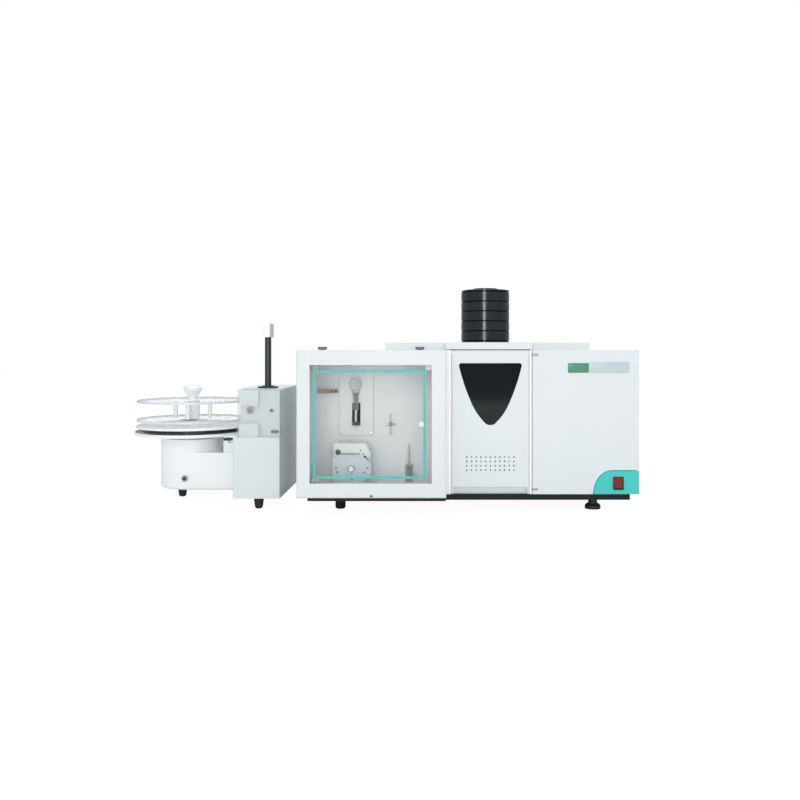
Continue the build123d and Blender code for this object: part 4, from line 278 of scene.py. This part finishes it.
finish = {
    "white": powderCoat("whitePowderCoat", (0.755, 0.795, 0.805), (0.73, 0.775, 0.79)),
    "brightWhite": powderCoat("samplerPowderCoat", (0.94, 0.965, 0.97), (0.92, 0.95, 0.955), 0.38),
    "tower": powderCoat("towerPowderCoat", (0.70, 0.76, 0.77), (0.67, 0.735, 0.75), 0.38),
    "grey": powderCoat("greyPowderCoat", (0.60, 0.65, 0.655), (0.56, 0.62, 0.63), 0.48),
    "panel": powderCoat("panelPowderCoat", (0.975, 0.99, 0.99), (0.96, 0.98, 0.98), 0.5),
    "black": powderCoat("blackPowderCoat", (0.006, 0.011, 0.013), (0.009, 0.015, 0.017), 0.55, 0.00004, 0.22),
    "teal": powderCoat("tealPaint", (0.062, 0.60, 0.545), (0.055, 0.56, 0.51), 0.35),
    "ink": powderCoat("tealScreenInk", (0.10, 0.55, 0.49), (0.09, 0.50, 0.45), 0.5, 0.00001),
    "badge": powderCoat("greenPlate", (0.07, 0.29, 0.175), (0.06, 0.26, 0.16), 0.3, 0.00001),
    "plate": powderCoat("paleBluePlate", (0.52, 0.65, 0.68), (0.49, 0.62, 0.66), 0.35, 0.00001),
    "silverBlue": powderCoat("silverBlueHousing", (0.70, 0.77, 0.82), (0.65, 0.72, 0.77), 0.32),
    "column": glossBlack("blackAnodised", (0.018, 0.026, 0.028), 0.32, 0.5),
    "gloss": glossBlack("blackGlossRings", (0.008, 0.013, 0.015), 0.18, 0.5),
    "darkPlastic": mouldedPlastic("blackGrainedPlastic", (0.02, 0.022, 0.023), (0.03, 0.032, 0.033), 0.45),
    "whitePlastic": mouldedPlastic(
        "whiteSmoothPlastic", (0.94, 0.96, 0.965), (0.92, 0.945, 0.95), 0.3, 1200.0, 0.00002, 0.2),
    "block": mouldedPlastic(
        "whiteMachinedBlock", (0.73, 0.78, 0.79), (0.70, 0.75, 0.765), 0.45, 1200.0, 0.00002),
    "cream": mouldedPlastic("creamPlastic", (0.80, 0.74, 0.58), (0.76, 0.69, 0.52), 0.35, 800.0, 0.00003),
    "clampWhite": mouldedPlastic(
        "milkyClampPlastic", (0.84, 0.86, 0.85), (0.80, 0.82, 0.81), 0.3, 900.0, 0.00003, 0.3),
    "tan": mouldedPlastic("tanPolymer", (0.52, 0.43, 0.31), (0.46, 0.38, 0.27), 0.5, 600.0, 0.00005),
    "midGrey": mouldedPlastic("greySmoothPlastic", (0.42, 0.48, 0.51), (0.37, 0.43, 0.46), 0.4),
    "valve": mouldedPlastic("greyValveHead", (0.50, 0.59, 0.61), (0.46, 0.55, 0.57), 0.4),
    "brownGrey": mouldedPlastic("brownGreyPad", (0.32, 0.37, 0.35), (0.28, 0.33, 0.31), 0.5),
    "red": mouldedPlastic("redRocker", (0.25, 0.004, 0.006), (0.22, 0.004, 0.005), 0.3, 1500.0, 0.00001),
    "rubber": mouldedPlastic("blackRubber", (0.012, 0.013, 0.013), (0.022, 0.023, 0.023), 0.75, 500.0, 0.0001),
    "darkSteel": brushedMetal("blackenedSteel", (0.25, 0.27, 0.29), (0.18, 0.20, 0.21), (6.0, 6.0, 1.0), 0.4),
    "steel": brushedMetal("turnedSteel", (0.62, 0.63, 0.64), (0.50, 0.51, 0.52), (8.0, 8.0, 0.6)),
    "zinc": brushedMetal("zincSheet", (0.56, 0.58, 0.59), (0.46, 0.48, 0.50), (1.0, 6.0, 6.0), 0.42),
    "alloy": brushedMetal("machinedAlloy", (0.66, 0.67, 0.69), (0.56, 0.57, 0.59), (0.6, 6.0, 9.0), 0.36),
    "brass": brushedMetal("turnedBrass", (0.70, 0.50, 0.20), (0.60, 0.41, 0.15), (7.0, 7.0, 1.0), 0.3),
    "clear": clearSheet("clearAcrylic", (0.80, 0.88, 0.88), 0.015, 0.3),
    "coverClear": clearSheet("hazyCover", (0.86, 0.93, 0.93), 0.12, 0.35, 0.08),
    "plateEdge": mouldedPlastic("plateEdge", (0.74, 0.81, 0.86), (0.70, 0.77, 0.83), 0.25, 900.0, 0.00001),
    "plateClear": clearSheet("milkyPlate", (0.95, 0.98, 0.985), 0.22, 0.13, 0.12),
    "glassware": clearSheet("labGlass", (0.90, 0.88, 0.86), 0.1, 0.42),
    "tubing": clearSheet("fluorinatedTube", (0.82, 0.78, 0.76), 0.2, 0.42),
    "bronze": brushedMetal("bronzeRing", (0.46, 0.37, 0.22), (0.38, 0.30, 0.17), (7.0, 7.0, 1.0), 0.35),
    "smoked": glossBlack("smokedGlass", (0.002, 0.004, 0.005), 0.06, 0.3),
}

nodeFinish = {
    "white": "top_cover side_panels hump_cover hood_shell atomizer_door lamp_door",
    "brightWhite": "sampler_base",
    "tower": "tower_case",
    "panel": "chemistry_panel bay_partitions syringe_plate",
    "grey": "rear_panel",
    "black": "base_plate fluid_drives optics",
    "teal": "switch_panel",
    "column": "column",
    "gloss": "chimney",
    "silverBlue": "pump_body",
    "darkPlastic": "levelling_feet switch_bezel fan_frame fan_rotor power_inlet syringe_plunger column_flange",
    "block": "rinse_pump window_knob",
    "whitePlastic": "carousel_posts carousel_knob turntable drip_tray tray_sensor",
    "cream": "probe_head",
    "clampWhite": "pump_clamp",
    "tan": "manifold_block",
    "valve": "valve_rotor",
    "midGrey": "lamp_door_hinges sampler_button",
    "brownGrey": "window_hinge_blocks",
    "red": "power_rocker",
    "rubber": "rubber_feet",
    "steel": "pump_rotor door_pivot_pins",
    "darkSteel": "thumb_screws clamp_lever",
    "zinc": "floor_pan power_supply",
    "alloy": "furnace lamp_bench",
    "brass": "gas_inlet",
    "clear": "window_pane",
    "coverClear": "clear_cover",
    "plateClear": "tube_plates",
    "tubing": "mixing_cross",
    "bronze": "rinse_knob",
    "glassware": "syringe_barrel gas_liquid_separator hollow_cathode_lamps",
    "smoked": "atomizer_glass",
}
for kind, names in nodeFinish.items():
    for name in names.split():
        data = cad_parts[name].data
        data.materials.clear()
        data.materials.append(finish[kind])
print("finishes given to", sum(len(names.split()) for names in nodeFinish.values()), "nodes")

# Shapes

mm = 0.001
weld = 1e-6


def addPiece(name, shape, kind, body, smooth=30.0):
    # makes a shape into a named piece with its finish and the body it rides on
    bmesh.ops.remove_doubles(shape, verts=shape.verts, dist=weld)
    mesh = bpy.data.meshes.new(name)
    shape.to_mesh(mesh)
    shape.free()
    mesh.materials.append(finish[kind])
    piece = bpy.data.objects.new(name, mesh)
    bpy.context.scene.collection.objects.link(piece)
    if smooth:
        mesh.shade_smooth()
        mesh.set_sharp_from_angle(angle=math.radians(smooth))
    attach(piece, body)
    return piece


def roundedSheet(left, right, low, high, corner, thick, line=None, segments=6):
    # a flat plate with round corners, or only its outer line, lying on its back at the origin's height
    shape = bmesh.new()
    corners = bmesh.ops.create_grid(shape, x_segments=1, y_segments=1, size=0.5)["verts"]
    bmesh.ops.scale(shape, vec=Vector(((right - left) * mm, (high - low) * mm, 1)), verts=corners)
    bmesh.ops.bevel(
        shape, geom=corners, offset=corner * mm, affect="VERTICES", segments=segments, profile=0.5, material=-1)
    if line:
        middle = shape.faces[:][0]
        bmesh.ops.inset_region(
            shape, faces=[middle], thickness=line * mm, use_boundary=True, use_even_offset=True)
        bmesh.ops.delete(shape, geom=[middle], context="FACES")
    flat = shape.faces[:]
    pushed = bmesh.ops.extrude_face_region(shape, geom=flat, use_keep_orig=True)
    lifted = [item for item in pushed["geom"] if isinstance(item, bmesh.types.BMVert)]
    bmesh.ops.translate(shape, vec=Vector((0, 0, thick * mm)), verts=lifted)
    bmesh.ops.recalc_face_normals(shape, faces=shape.faces)
    return shape


def easeTop(shape, height, edge, slack=0.01, sharp=1.0):
    # rounds the outer edges of the top face
    rim = [e for e in shape.edges if e.is_manifold and all(v.co.z > (height - slack) * mm for v in e.verts)]
    rim = [e for e in rim if abs(e.calc_face_angle(0)) > sharp]
    bmesh.ops.bevel(shape, geom=rim, offset=edge * mm, affect="EDGES", segments=2, profile=0.5, material=-1)


def putAt(shape, x, y, z, facing):
    # turns a shape from its back and seats it at a place in millimetres
    bmesh.ops.transform(shape, matrix=Matrix.Translation(Vector((x, y, z)) * mm) @ facing, verts=shape.verts)
    return shape


def gather(shapes):
    # joins several shapes into one
    whole = bmesh.new()
    for shape in shapes:
        mesh = bpy.data.meshes.new("part")
        shape.to_mesh(mesh)
        shape.free()
        whole.from_mesh(mesh)
        bpy.data.meshes.remove(mesh)
    return whole


toFront = Matrix.Rotation(math.radians(90), 4, "X")
toBack = Matrix.Rotation(math.radians(-90), 4, "X")
toTop = Matrix.Identity(4)
toRight = Matrix.Rotation(math.radians(90), 4, "Y")


def outline(shape, points):
    # vertices of a profile that is given as (radius, height) pairs
    spots = [Vector((radius, 0, height)) * mm for radius, height in points]
    return [bmesh.ops.create_vert(shape, co=spot)["vert"][0] for spot in spots]


def spun(shape, line, steps):
    # turns a line once round Z
    bmesh.ops.spin(
        shape, geom=line, cent=(0, 0, 0), axis=(0, 0, 1), dvec=(0, 0, 0), angle=math.tau,
        steps=steps, use_merge=True)
    bmesh.ops.remove_doubles(shape, verts=shape.verts, dist=weld)
    bmesh.ops.recalc_face_normals(shape, faces=shape.faces)
    return shape


def roundSolid(profile, steps=32):
    # a surface turned about Z, closed where both ends of its profile lie on the axis
    shape = bmesh.new()
    verts = outline(shape, profile)
    edges = [shape.edges.new(pair) for pair in zip(verts, verts[1:])]
    return spun(shape, verts + edges, steps)


def ringBand(inner, outer, thick, segments=48):
    # a flat ring that stands on its seat
    shape = bmesh.new()
    corners = [(inner, 0), (outer, 0), (outer, thick), (inner, thick)]
    verts = outline(shape, corners)
    edges = [shape.edges.new((verts[i], verts[(i + 1) % len(verts)])) for i in range(len(verts))]
    return spun(shape, verts + edges, segments)


def ringWire(radius, wire, steps=48):
    # a round wire bent to a ring about Z
    shape = bmesh.new()
    ring = bmesh.ops.create_circle(shape, segments=8, radius=wire * mm)["verts"]
    bmesh.ops.rotate(shape, cent=(0, 0, 0), matrix=Matrix.Rotation(math.radians(90), 3, "X"), verts=ring)
    bmesh.ops.translate(shape, vec=Vector((radius * mm, 0, 0)), verts=ring)
    return spun(shape, shape.verts[:] + shape.edges[:], steps)


def disc(radius, thick, segments=32):
    # a round plate that stands on its seat
    shape = bmesh.new()
    bmesh.ops.create_cone(
        shape, cap_ends=True, segments=segments, radius1=radius * mm, radius2=radius * mm, depth=thick * mm)
    bmesh.ops.translate(shape, vec=Vector((0, 0, thick * mm / 2)), verts=shape.verts)
    return shape


screwHead = {"sides": 24, "edge": 0.12, "rim": 0.42, "sunk": 0.55, "places": 6}


def socketScrew(radius, height):
    # a cap screw with a round sunk socket, standing on its seat
    p = screwHead
    shape = disc(radius, height, p["sides"])
    easeTop(shape, height, p["edge"] * radius)
    top = max(shape.faces, key=lambda face: (round(face.calc_center_median().z, p["places"]), face.calc_area()))
    bmesh.ops.inset_region(shape, faces=[top], thickness=radius * p["rim"] * mm)
    sunk = bmesh.ops.extrude_discrete_faces(shape, faces=[top])["faces"][0]
    bmesh.ops.translate(shape, vec=Vector((0, 0, -height * p["sunk"] * mm)), verts=sunk.verts)
    return shape


def screwSet(name, spots, facing, kind, body, slotName, radius, height):
    heads = [putAt(socketScrew(radius, height), x, y, z, facing) for x, y, z in spots]
    return addPiece(name, gather(heads), kind, body)


def corner(node):
    # both corners of a node's box in millimetres
    low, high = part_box(node)
    return low / mm, high / mm


def middleOf(node):
    low, high = corner(node)
    return [(a + b) / 2 for a, b in zip(low, high)]


# Window print: a plain rounded line round the clear door

windowPrint = {
    "leftMargin": 4.5, "rightMargin": 12.0, "lowMargin": 8.5, "highMargin": 10.5,
    "line": 6.2, "corner": 6.0, "cornerSteps": 8, "film": 0.25,
}


def printWindow():
    p = windowPrint
    low, high = corner("window_pane")
    left, right = low.x + p["leftMargin"], high.x - p["rightMargin"]
    base, top = low.z + p["lowMargin"], high.z - p["highMargin"]
    shape = roundedSheet(left, right, base, top, p["corner"], p["film"], p["line"], p["cornerSteps"])
    putAt(shape, (left + right) / 2, low.y, (base + top) / 2, toFront)
    addPiece("windowPrint", shape, "ink", "window_door")


# Two small plates on the right door, both left bare

doorPlates = {
    "badge": {"left": 85.5, "width": 50.0, "drop": 31.5, "height": 23.0, "thick": 1.2, "corner": 1.5},
    "plate": {"left": 137.5, "width": 95.5, "drop": 29.0, "height": 26.5, "thick": 0.8, "corner": 2.0},
    "edge": 0.3,
}


def dressLampDoor():
    low, high = corner("lamp_door")
    for kind, slotName in (("badge", "teal_coat"), ("plate", "grey_coat")):
        p = doorPlates[kind]
        left, top = low.x + p["left"], high.z - p["drop"]
        shape = roundedSheet(left, left + p["width"], top - p["height"], top, p["corner"], p["thick"])
        easeTop(shape, p["thick"], doorPlates["edge"])
        putAt(shape, left + p["width"] / 2, low.y, top - p["height"] / 2, toFront)
        addPiece("lampDoor" + kind.capitalize(), shape, kind, "lamp_flap")


printWindow()
dressLampDoor()
print("door prints and plates made")

# Pale seals in the side gaps of the two doors

doorSeals = {"setback": 0.8, "depth": 2.0, "play": 0.3, "width": 1.2, "corner": 0.1, "ends": 2.0}


def makeSeals():
    p = doorSeals
    strips = []
    doorBase = corner("atomizer_door")[0].z
    switchTop = corner("switch_panel")[1].z
    gaps = (("atomizer_door", ("left", "right"), doorBase), ("lamp_door", ("right",), switchTop))
    for node, sides, base in gaps:
        low, high = corner(node)
        for side in sides:
            outside = p["play"] + p["width"]
            left = high.x + p["play"] if side == "right" else low.x - outside
            bottom, top = base + p["ends"], high.z - p["ends"]
            strip = roundedSheet(left, left + p["width"], bottom, top, p["corner"], p["depth"])
            seat = low.y + p["setback"] + p["depth"]
            strips.append(putAt(strip, left + p["width"] / 2, seat, (bottom + top) / 2, toFront))
    addPiece("doorSeals", gather(strips), "whitePlastic", "case")


makeSeals()
print("door seals made")

# Screws of each panel

screws = {
    "plateInset": 5.5, "plateThick": 3.0, "panelFront": -65.0, "panelAcross": 9.0, "panelUp": 12.0,
    "pumpLeft": ((8.0, 38.0), (11.0, 27.0)), "pumpRight": ((8.0, 38.0), (17.0, 26.0)), "pumpFoot": 9.5,
    "rearAcross": (14.0, 230.0), "rearUp": 9.0, "sideFront": 70.0, "sideInset": 20.0,
    "towerLeft": 16.0, "towerRight": 12.0, "towerHeights": (16.0, 132.0), "fanInset": 5.25, "fanStand": 2.0,
    "panelSize": (2.8, 1.8), "pumpSize": (2.4, 1.4), "caseSize": (3.4, 1.8), "smallSize": (3.0, 1.6),
}


def placeScrews():
    p = screws
    low, high = corner("syringe_plate")
    inset = p["plateInset"]
    spots = [(x, high.y - p["plateThick"], low.z + inset) for x in (low.x + inset, high.x - inset)]
    screwSet("syringePlateScrews", spots, toFront, "steel", "case", "stainless", *p["panelSize"])
    low, high = corner("pump_body")
    spots = [(low.x + across, low.y, low.z + up) for across, up in p["pumpLeft"]]
    spots += [(high.x - across, low.y, low.z + up) for across, up in p["pumpRight"]]
    spots.append(((low.x + high.x) / 2, low.y, low.z + p["pumpFoot"]))
    screwSet("pumpScrews", spots, toFront, "darkSteel", "case", "stainless", *p["pumpSize"])
    low, high = corner("chemistry_panel")
    across, up = p["panelAcross"], p["panelUp"]
    heights = (low.z + up, high.z - up)
    spots = [(x, p["panelFront"], z) for x in (low.x + across, high.x - across) for z in heights]
    screwSet("panelScrews", spots, toFront, "steel", "case", "stainless", *p["panelSize"])
    low, high = corner("rear_panel")
    edge, inner = p["rearAcross"]
    across = [low.x + edge, low.x + inner, (low.x + high.x) / 2, high.x - inner, high.x - edge]
    spots = [(x, high.y, z) for x in across for z in (low.z + p["rearUp"], high.z - p["rearUp"])]
    screwSet("rearScrews", spots, toBack, "darkSteel", "case", "stainless", *p["caseSize"])
    low, high = corner("side_panels")
    inset = p["sideInset"]
    deep = (low.y + p["sideFront"], high.y - inset)
    spots = [(high.x, y, z) for y in deep for z in (low.z + inset, high.z - inset)]
    screwSet("sideScrews", spots, toRight, "darkSteel", "case", "stainless", *p["caseSize"])
    low, high = corner("tower_case")
    across = (low.x + p["towerLeft"], high.x - p["towerRight"])
    spots = [(x, high.y, low.z + up) for x in across for up in p["towerHeights"]]
    screwSet("towerScrews", spots, toBack, "darkSteel", "case", "stainless", *p["smallSize"])
    low, high = corner("fan_frame")
    inset, seat = p["fanInset"], high.y + p["fanStand"]
    spots = [(x, seat, z) for x in (low.x + inset, high.x - inset) for z in (low.z + inset, high.z - inset)]
    screwSet("fanScrews", spots, toBack, "darkSteel", "case", "stainless", *p["smallSize"])


placeScrews()
print("screws placed")

# Fan grille: wire rings and spokes over the rear outlet

fanGrille = {
    "rings": (12.0, 20.0, 28.0, 36.0, 44.0), "wire": 0.9, "wireSides": 8, "seat": 2.0, "stand": 2.2,
    "spokes": 4, "firstSpoke": math.pi / 8, "reach": 46.5, "smooth": 40.0,
}


def makeGrille():
    p = fanGrille
    high = corner("fan_frame")[1]
    x, _, z = middleOf("fan_frame")
    wire = p["wire"] * mm
    shapes = [ringWire(radius, p["wire"]) for radius in p["rings"]]
    for spoke in range(p["spokes"]):
        bar = bmesh.new()
        bmesh.ops.create_cone(
            bar, cap_ends=True, segments=p["wireSides"], radius1=wire, radius2=wire, depth=2 * p["reach"] * mm)
        turn = Matrix.Rotation(math.pi * spoke / p["spokes"] + p["firstSpoke"], 4, "Z") @ toRight
        bmesh.ops.transform(bar, matrix=Matrix.Translation((0, 0, -wire)) @ turn, verts=bar.verts)
        shapes.append(bar)
    whole = putAt(gather(shapes), x, high.y + p["seat"] + p["stand"], z, toBack)
    addPiece("fanGrille", whole, "steel", "case", p["smooth"])


# Blades of the appliance inlet

inletBlades = {
    "places": ((-7.0, -2.0), (7.0, -2.0), (0.0, 3.0)), "halfWidth": 2.0, "halfHeight": 1.0,
    "corner": 0.4, "length": 12.0, "seat": 15.0,
}


def makeInletBlades():
    p = inletBlades
    high = corner("power_inlet")[1]
    x, _, z = middleOf("power_inlet")
    shapes = []
    for across, up in p["places"]:
        blade = roundedSheet(
            -p["halfWidth"], p["halfWidth"], -p["halfHeight"], p["halfHeight"], p["corner"], p["length"])
        shapes.append(putAt(blade, x + across, high.y - p["seat"], z + up, toBack))
    addPiece("inletBlades", gather(shapes), "brass", "case")


makeGrille()
makeInletBlades()
print("rear fittings made")

# Black band round the turntable

turntableBand = {
    "tableRadius": 130.0, "reach": 0.35, "lift": 1.0, "height": 9.0,
    "chamferIn": 1.0, "chamferUp": 0.3, "steps": 96,
}


def makeTurntableBand():
    p = turntableBand
    x, y, _ = middleOf("drip_tray")
    radius, bottom = p["tableRadius"] + p["reach"], corner("drip_tray")[1].z + p["lift"]
    top, inner = bottom + p["height"], radius - p["chamferIn"]
    profile = [(inner, bottom), (radius, bottom + p["chamferUp"]), (radius, top - p["chamferUp"]), (inner, top)]
    shape = roundSolid(profile, p["steps"])
    addPiece("turntableBand", putAt(shape, x, y, 0, toTop), "gloss", "carousel")


# Dark cap of the tray sensor

sensorCap = {"height": 5.5, "proud": 0.4, "corner": 0.8, "edge": 0.4}


def makeSensorCap():
    p = sensorCap
    low, high = corner("tray_sensor")
    x, y, _ = middleOf("tray_sensor")
    grow, thick = p["proud"], p["height"] + p["proud"]
    cap = roundedSheet(low.x - grow, high.x + grow, low.y - grow, high.y + grow, p["corner"], thick)
    easeTop(cap, thick, p["edge"])
    putAt(cap, x, y, high.z - p["height"], toTop)
    addPiece("sensorCap", cap, "darkPlastic", "case")


# White front shell of the probe head

headBlock = {"proud": 0.35, "share": 0.15, "corner": 3.0, "edge": 1.0}


def makeHeadBlock():
    p = headBlock
    low, high = corner("probe_head")
    x, _, z = middleOf("probe_head")
    grow, deep = p["proud"], (high.y - low.y) * p["share"]
    shell = roundedSheet(low.x - grow, high.x + grow, low.z - grow, high.z + grow, p["corner"], deep)
    easeTop(shell, deep, p["edge"])
    putAt(shell, x, low.y + deep - grow, z, toFront)
    addPiece("headBlock", shell, "whitePlastic", "head")


# Bright edges of the two tube plates

plateEdges = {"thick": 5.0, "apart": 44.0, "proud": 0.25, "deep": 0.6, "segments": 96}


def makePlateEdges():
    p = plateEdges
    low, high = corner("tube_plates")
    x, y, _ = middleOf("tube_plates")
    radius = (high.x - low.x) / 2
    bands = []
    for bottom in (high.z - p["thick"], high.z - 2 * p["thick"] - p["apart"]):
        band = ringBand(radius - p["deep"], radius + p["proud"], p["thick"], p["segments"])
        bands.append(putAt(band, x, y, bottom, toTop))
    addPiece("plateEdgeBands", gather(bands), "plateEdge", "carousel")


makeTurntableBand()
makeSensorCap()
makeHeadBlock()
makePlateEdges()
print("sampler trim made")

# Dark sheet that closes the hood from below

hoodSole = {"drop": 8.0, "left": 24.5, "right": 1.0, "front": 10.0, "backFace": -180.0, "corner": 1.5}


def makeSole():
    p = hoodSole
    low, high = corner("hood_shell")
    left, right, front = low.x + p["left"], high.x - p["right"], low.y + p["front"]
    sole = roundedSheet(left, right, front, p["backFace"], p["corner"], p["drop"])
    putAt(sole, (left + right) / 2, (front + p["backFace"]) / 2, low.z - p["drop"], toTop)
    addPiece("hoodSole", sole, "black", "case")


# Dark inlay of the valve's index dot, which turns with the valve

valveDot = {"offset": 8.0, "radius": 1.3, "thick": 0.3}


def dressValve():
    p = valveDot
    front = corner("valve_rotor")[0].y
    x = middleOf("syringe_barrel")[0] + p["offset"]
    z = middleOf("valve_rotor")[2] + p["offset"]
    dot = putAt(disc(p["radius"], p["thick"]), x, front, z, toFront)
    addPiece("valveDotInlay", dot, "darkPlastic", "valve")


# Mid-grey outline round the syringe's plate, a painted shadow line along the plate's edge

plateShadowLine = {"reach": 0.9, "hidden": 0.4, "corner": 1.5, "thick": 1.2}

# Sleeve of the plunger, marks and collar of the barrel

syringeDress = {
    "sleeveRadius": 2.9, "sleeveLength": 31.0, "sleeveUp": 8.6, "markInner": 7.0, "markOuter": 7.15,
    "markThick": 0.4, "markCount": 5, "markStart": 12.0, "markPitch": 6.0,
    "collarIn": 0.5, "collarOut": 0.4, "collarHeight": 9.0, "collarDrop": 10.0,
}


def dressSyringe():
    p = plateShadowLine
    low, high = corner("syringe_plate")
    x, _, z = middleOf("syringe_plate")
    grow = p["reach"]
    edges = (low.x - grow, high.x + grow, low.z - grow, high.z + grow)
    # the mid-grey outline at the plate's foot paints the shadow line round its edge
    shadowLine = roundedSheet(*edges, p["corner"], p["thick"], grow + p["hidden"])
    addPiece("syringePlateShadowLine", putAt(shadowLine, x, high.y, z, toFront), "midGrey", "case")
    p = syringeDress
    low, high = corner("syringe_barrel")
    x, y, _ = middleOf("syringe_barrel")
    radius = (high.x - low.x) / 2
    sleeve = disc(p["sleeveRadius"], p["sleeveLength"])
    putAt(sleeve, x, y, corner("syringe_plunger")[0].z + p["sleeveUp"], toTop)
    addPiece("plungerSleeve", sleeve, "cream", "plunger")
    marks = []
    for step in range(p["markCount"]):
        mark = ringBand(p["markInner"], p["markOuter"], p["markThick"])
        marks.append(putAt(mark, x, y, low.z + p["markStart"] + step * p["markPitch"], toTop))
    addPiece("barrelMarks", gather(marks), "midGrey", "case")
    collar = ringBand(radius - p["collarIn"], radius + p["collarOut"], p["collarHeight"])
    putAt(collar, x, y, high.z - p["collarDrop"], toTop)
    addPiece("barrelCollar", collar, "cream", "case")


# Two plugs at the manifold's right end

manifoldPlugs = {"insets": (14.5, 5.0), "size": (1.9, 1.6)}


def dressManifold():
    p = manifoldPlugs
    low, high = corner("manifold_block")
    z = middleOf("manifold_block")[2]
    plugs = [putAt(socketScrew(*p["size"]), high.x - inset, low.y, z, toFront) for inset in p["insets"]]
    addPiece("manifoldPlugs", gather(plugs), "darkPlastic", "case")


# Ring round the pump's knob, two screws of its clamp and a cap on the clamp's lever

pumpDress = {
    "ringInner": 6.4, "ringOuter": 9.6, "ringThick": 0.5,
    "screwSpots": ((23.0, 144.6), (30.0, 136.0)), "screwSize": (1.9, 1.4),
    "capRim": 1.2, "capThick": 0.6, "capEdge": 0.2,
}


def dressPump():
    p = pumpDress
    x, _, z = middleOf("pump_rotor")
    ring = ringBand(p["ringInner"], p["ringOuter"], p["ringThick"])
    putAt(ring, x, corner("pump_rotor")[0].y, z, toFront)
    addPiece("pumpKnobRing", ring, "darkSteel", "pump_roller")
    front = corner("pump_body")[0].y
    spots = [(x + across, front, height) for across, height in p["screwSpots"]]
    screwSet("clampScrews", spots, toFront, "darkSteel", "clamp", "stainless", *p["screwSize"])
    low, high = corner("clamp_lever")
    radius = (high.z - low.z) / 2
    cap = disc(radius - p["capRim"], p["capThick"])
    easeTop(cap, p["capThick"], p["capEdge"])
    putAt(cap, low.x + radius, low.y, (low.z + high.z) / 2, toFront)
    addPiece("leverCap", cap, "darkPlastic", "lever")


makeSole()
dressValve()
dressSyringe()
dressManifold()
dressPump()
print("chemistry parts dressed")

# Caps, dots and drain of the sampler's rinse pump

rinseDress = {
    "knobSize": (5.2, 0.9), "bossSize": (4.6, 1.0), "bossInset": 19.5, "bossFace": -147.0, "blockFace": -139.0,
    "dotRadius": 0.8, "dotThick": 0.3, "dotSides": 12, "dotCount": 9,
    "dotStart": 7.0, "dotPitch": 4.0, "dotUp": 37.5,
    "drainLeft": -11.0, "drainRight": 8.0, "drainHalf": 3.5, "drainCorner": 2.0, "drainThick": 3.0,
    "drainEdge": 0.5, "drainInset": 13.0, "drainUp": 12.0,
}


def dressRinse():
    p = rinseDress
    x, _, z = middleOf("rinse_knob")
    cap = putAt(socketScrew(*p["knobSize"]), x, corner("rinse_knob")[0].y, z, toFront)
    addPiece("rinseKnobCap", cap, "darkPlastic", "rinse_roller")
    low, high = corner("rinse_pump")
    boss = putAt(socketScrew(*p["bossSize"]), high.x - p["bossInset"], p["bossFace"], z, toFront)
    addPiece("rinseBossCap", boss, "darkPlastic", "case")
    dots = []
    for step in range(p["dotCount"]):
        dot = disc(p["dotRadius"], p["dotThick"], p["dotSides"])
        spot = low.x + p["dotStart"] + p["dotPitch"] * step
        dots.append(putAt(dot, spot, p["blockFace"], low.z + p["dotUp"], toFront))
    addPiece("blockDots", gather(dots), "darkPlastic", "case")
    half = p["drainHalf"]
    drain = roundedSheet(p["drainLeft"], p["drainRight"], -half, half, p["drainCorner"], p["drainThick"])
    easeTop(drain, p["drainThick"], p["drainEdge"])
    putAt(drain, high.x - p["drainInset"], p["blockFace"], low.z + p["drainUp"], toFront)
    addPiece("drainFitting", drain, "darkPlastic", "case")


# Dark centre of the start button

buttonCentre = {"radius": 4.8, "thick": 0.5, "edge": 0.2}


def dressButton():
    p = buttonCentre
    x, _, z = middleOf("sampler_button")
    centre = disc(p["radius"], p["thick"])
    easeTop(centre, p["thick"], p["edge"])
    putAt(centre, x, corner("sampler_button")[0].y, z, toFront)
    addPiece("buttonCentre", centre, "darkPlastic", "button")


dressRinse()
dressButton()
print("sampler fittings made")

# Lamps of the right bay: cathodes inside the glass and sleeves over the bases

lampParts = {
    "angles": (15.0, -15.0), "start": 148.0, "glassLength": 130.0,
    "cupAt": 52.0, "cupRadius": 5.5, "cupBore": 3.2, "cupLength": 20.0, "cupDepth": 12.0, "cupSteps": 24,
    "discRadius": 13.0, "discThick": 1.0, "stemRadius": 1.0, "stemSides": 12,
    "sleeveInner": 17.05, "sleeveOuter": 17.6, "sleeveLength": 30.0, "sleeveGap": 2.0,
}


def dressLamps():
    p = lampParts
    x, y, _ = middleOf("chimney")
    z = middleOf("hollow_cathode_lamps")[2]
    cathodes, sleeves = [], []
    for angle in p["angles"]:
        turn = Matrix.Rotation(math.radians(angle), 4, "Z")
        along = turn @ Vector((1, 0, 0))
        facing = turn @ toRight

        def placed(shape, distance):
            spot = Vector((x, y, z)) + along * distance
            return putAt(shape, *spot, facing)

        cupAt, cupEnd = p["start"] + p["cupAt"], p["start"] + p["cupAt"] + p["cupLength"]
        cup = [(0, p["cupDepth"]), (p["cupBore"], p["cupDepth"]), (p["cupBore"], 0), (p["cupRadius"], 0)]
        cup += [(p["cupRadius"], p["cupLength"]), (0, p["cupLength"])]
        cathodes.append(placed(roundSolid(cup, p["cupSteps"]), cupAt))
        cathodes.append(placed(disc(p["discRadius"], p["discThick"]), cupEnd))
        stemLength = p["start"] + p["glassLength"] - cupEnd - p["discThick"]
        cathodes.append(placed(disc(p["stemRadius"], stemLength, p["stemSides"]), cupEnd + p["discThick"]))
        sleeve = ringBand(p["sleeveInner"], p["sleeveOuter"], p["sleeveLength"])
        sleeves.append(placed(sleeve, p["start"] + p["glassLength"] + p["sleeveGap"]))
    addPiece("lampCathodes", gather(cathodes), "steel", "case")
    addPiece("lampSleeves", gather(sleeves), "darkPlastic", "case")


dressLamps()
print("lamps dressed")
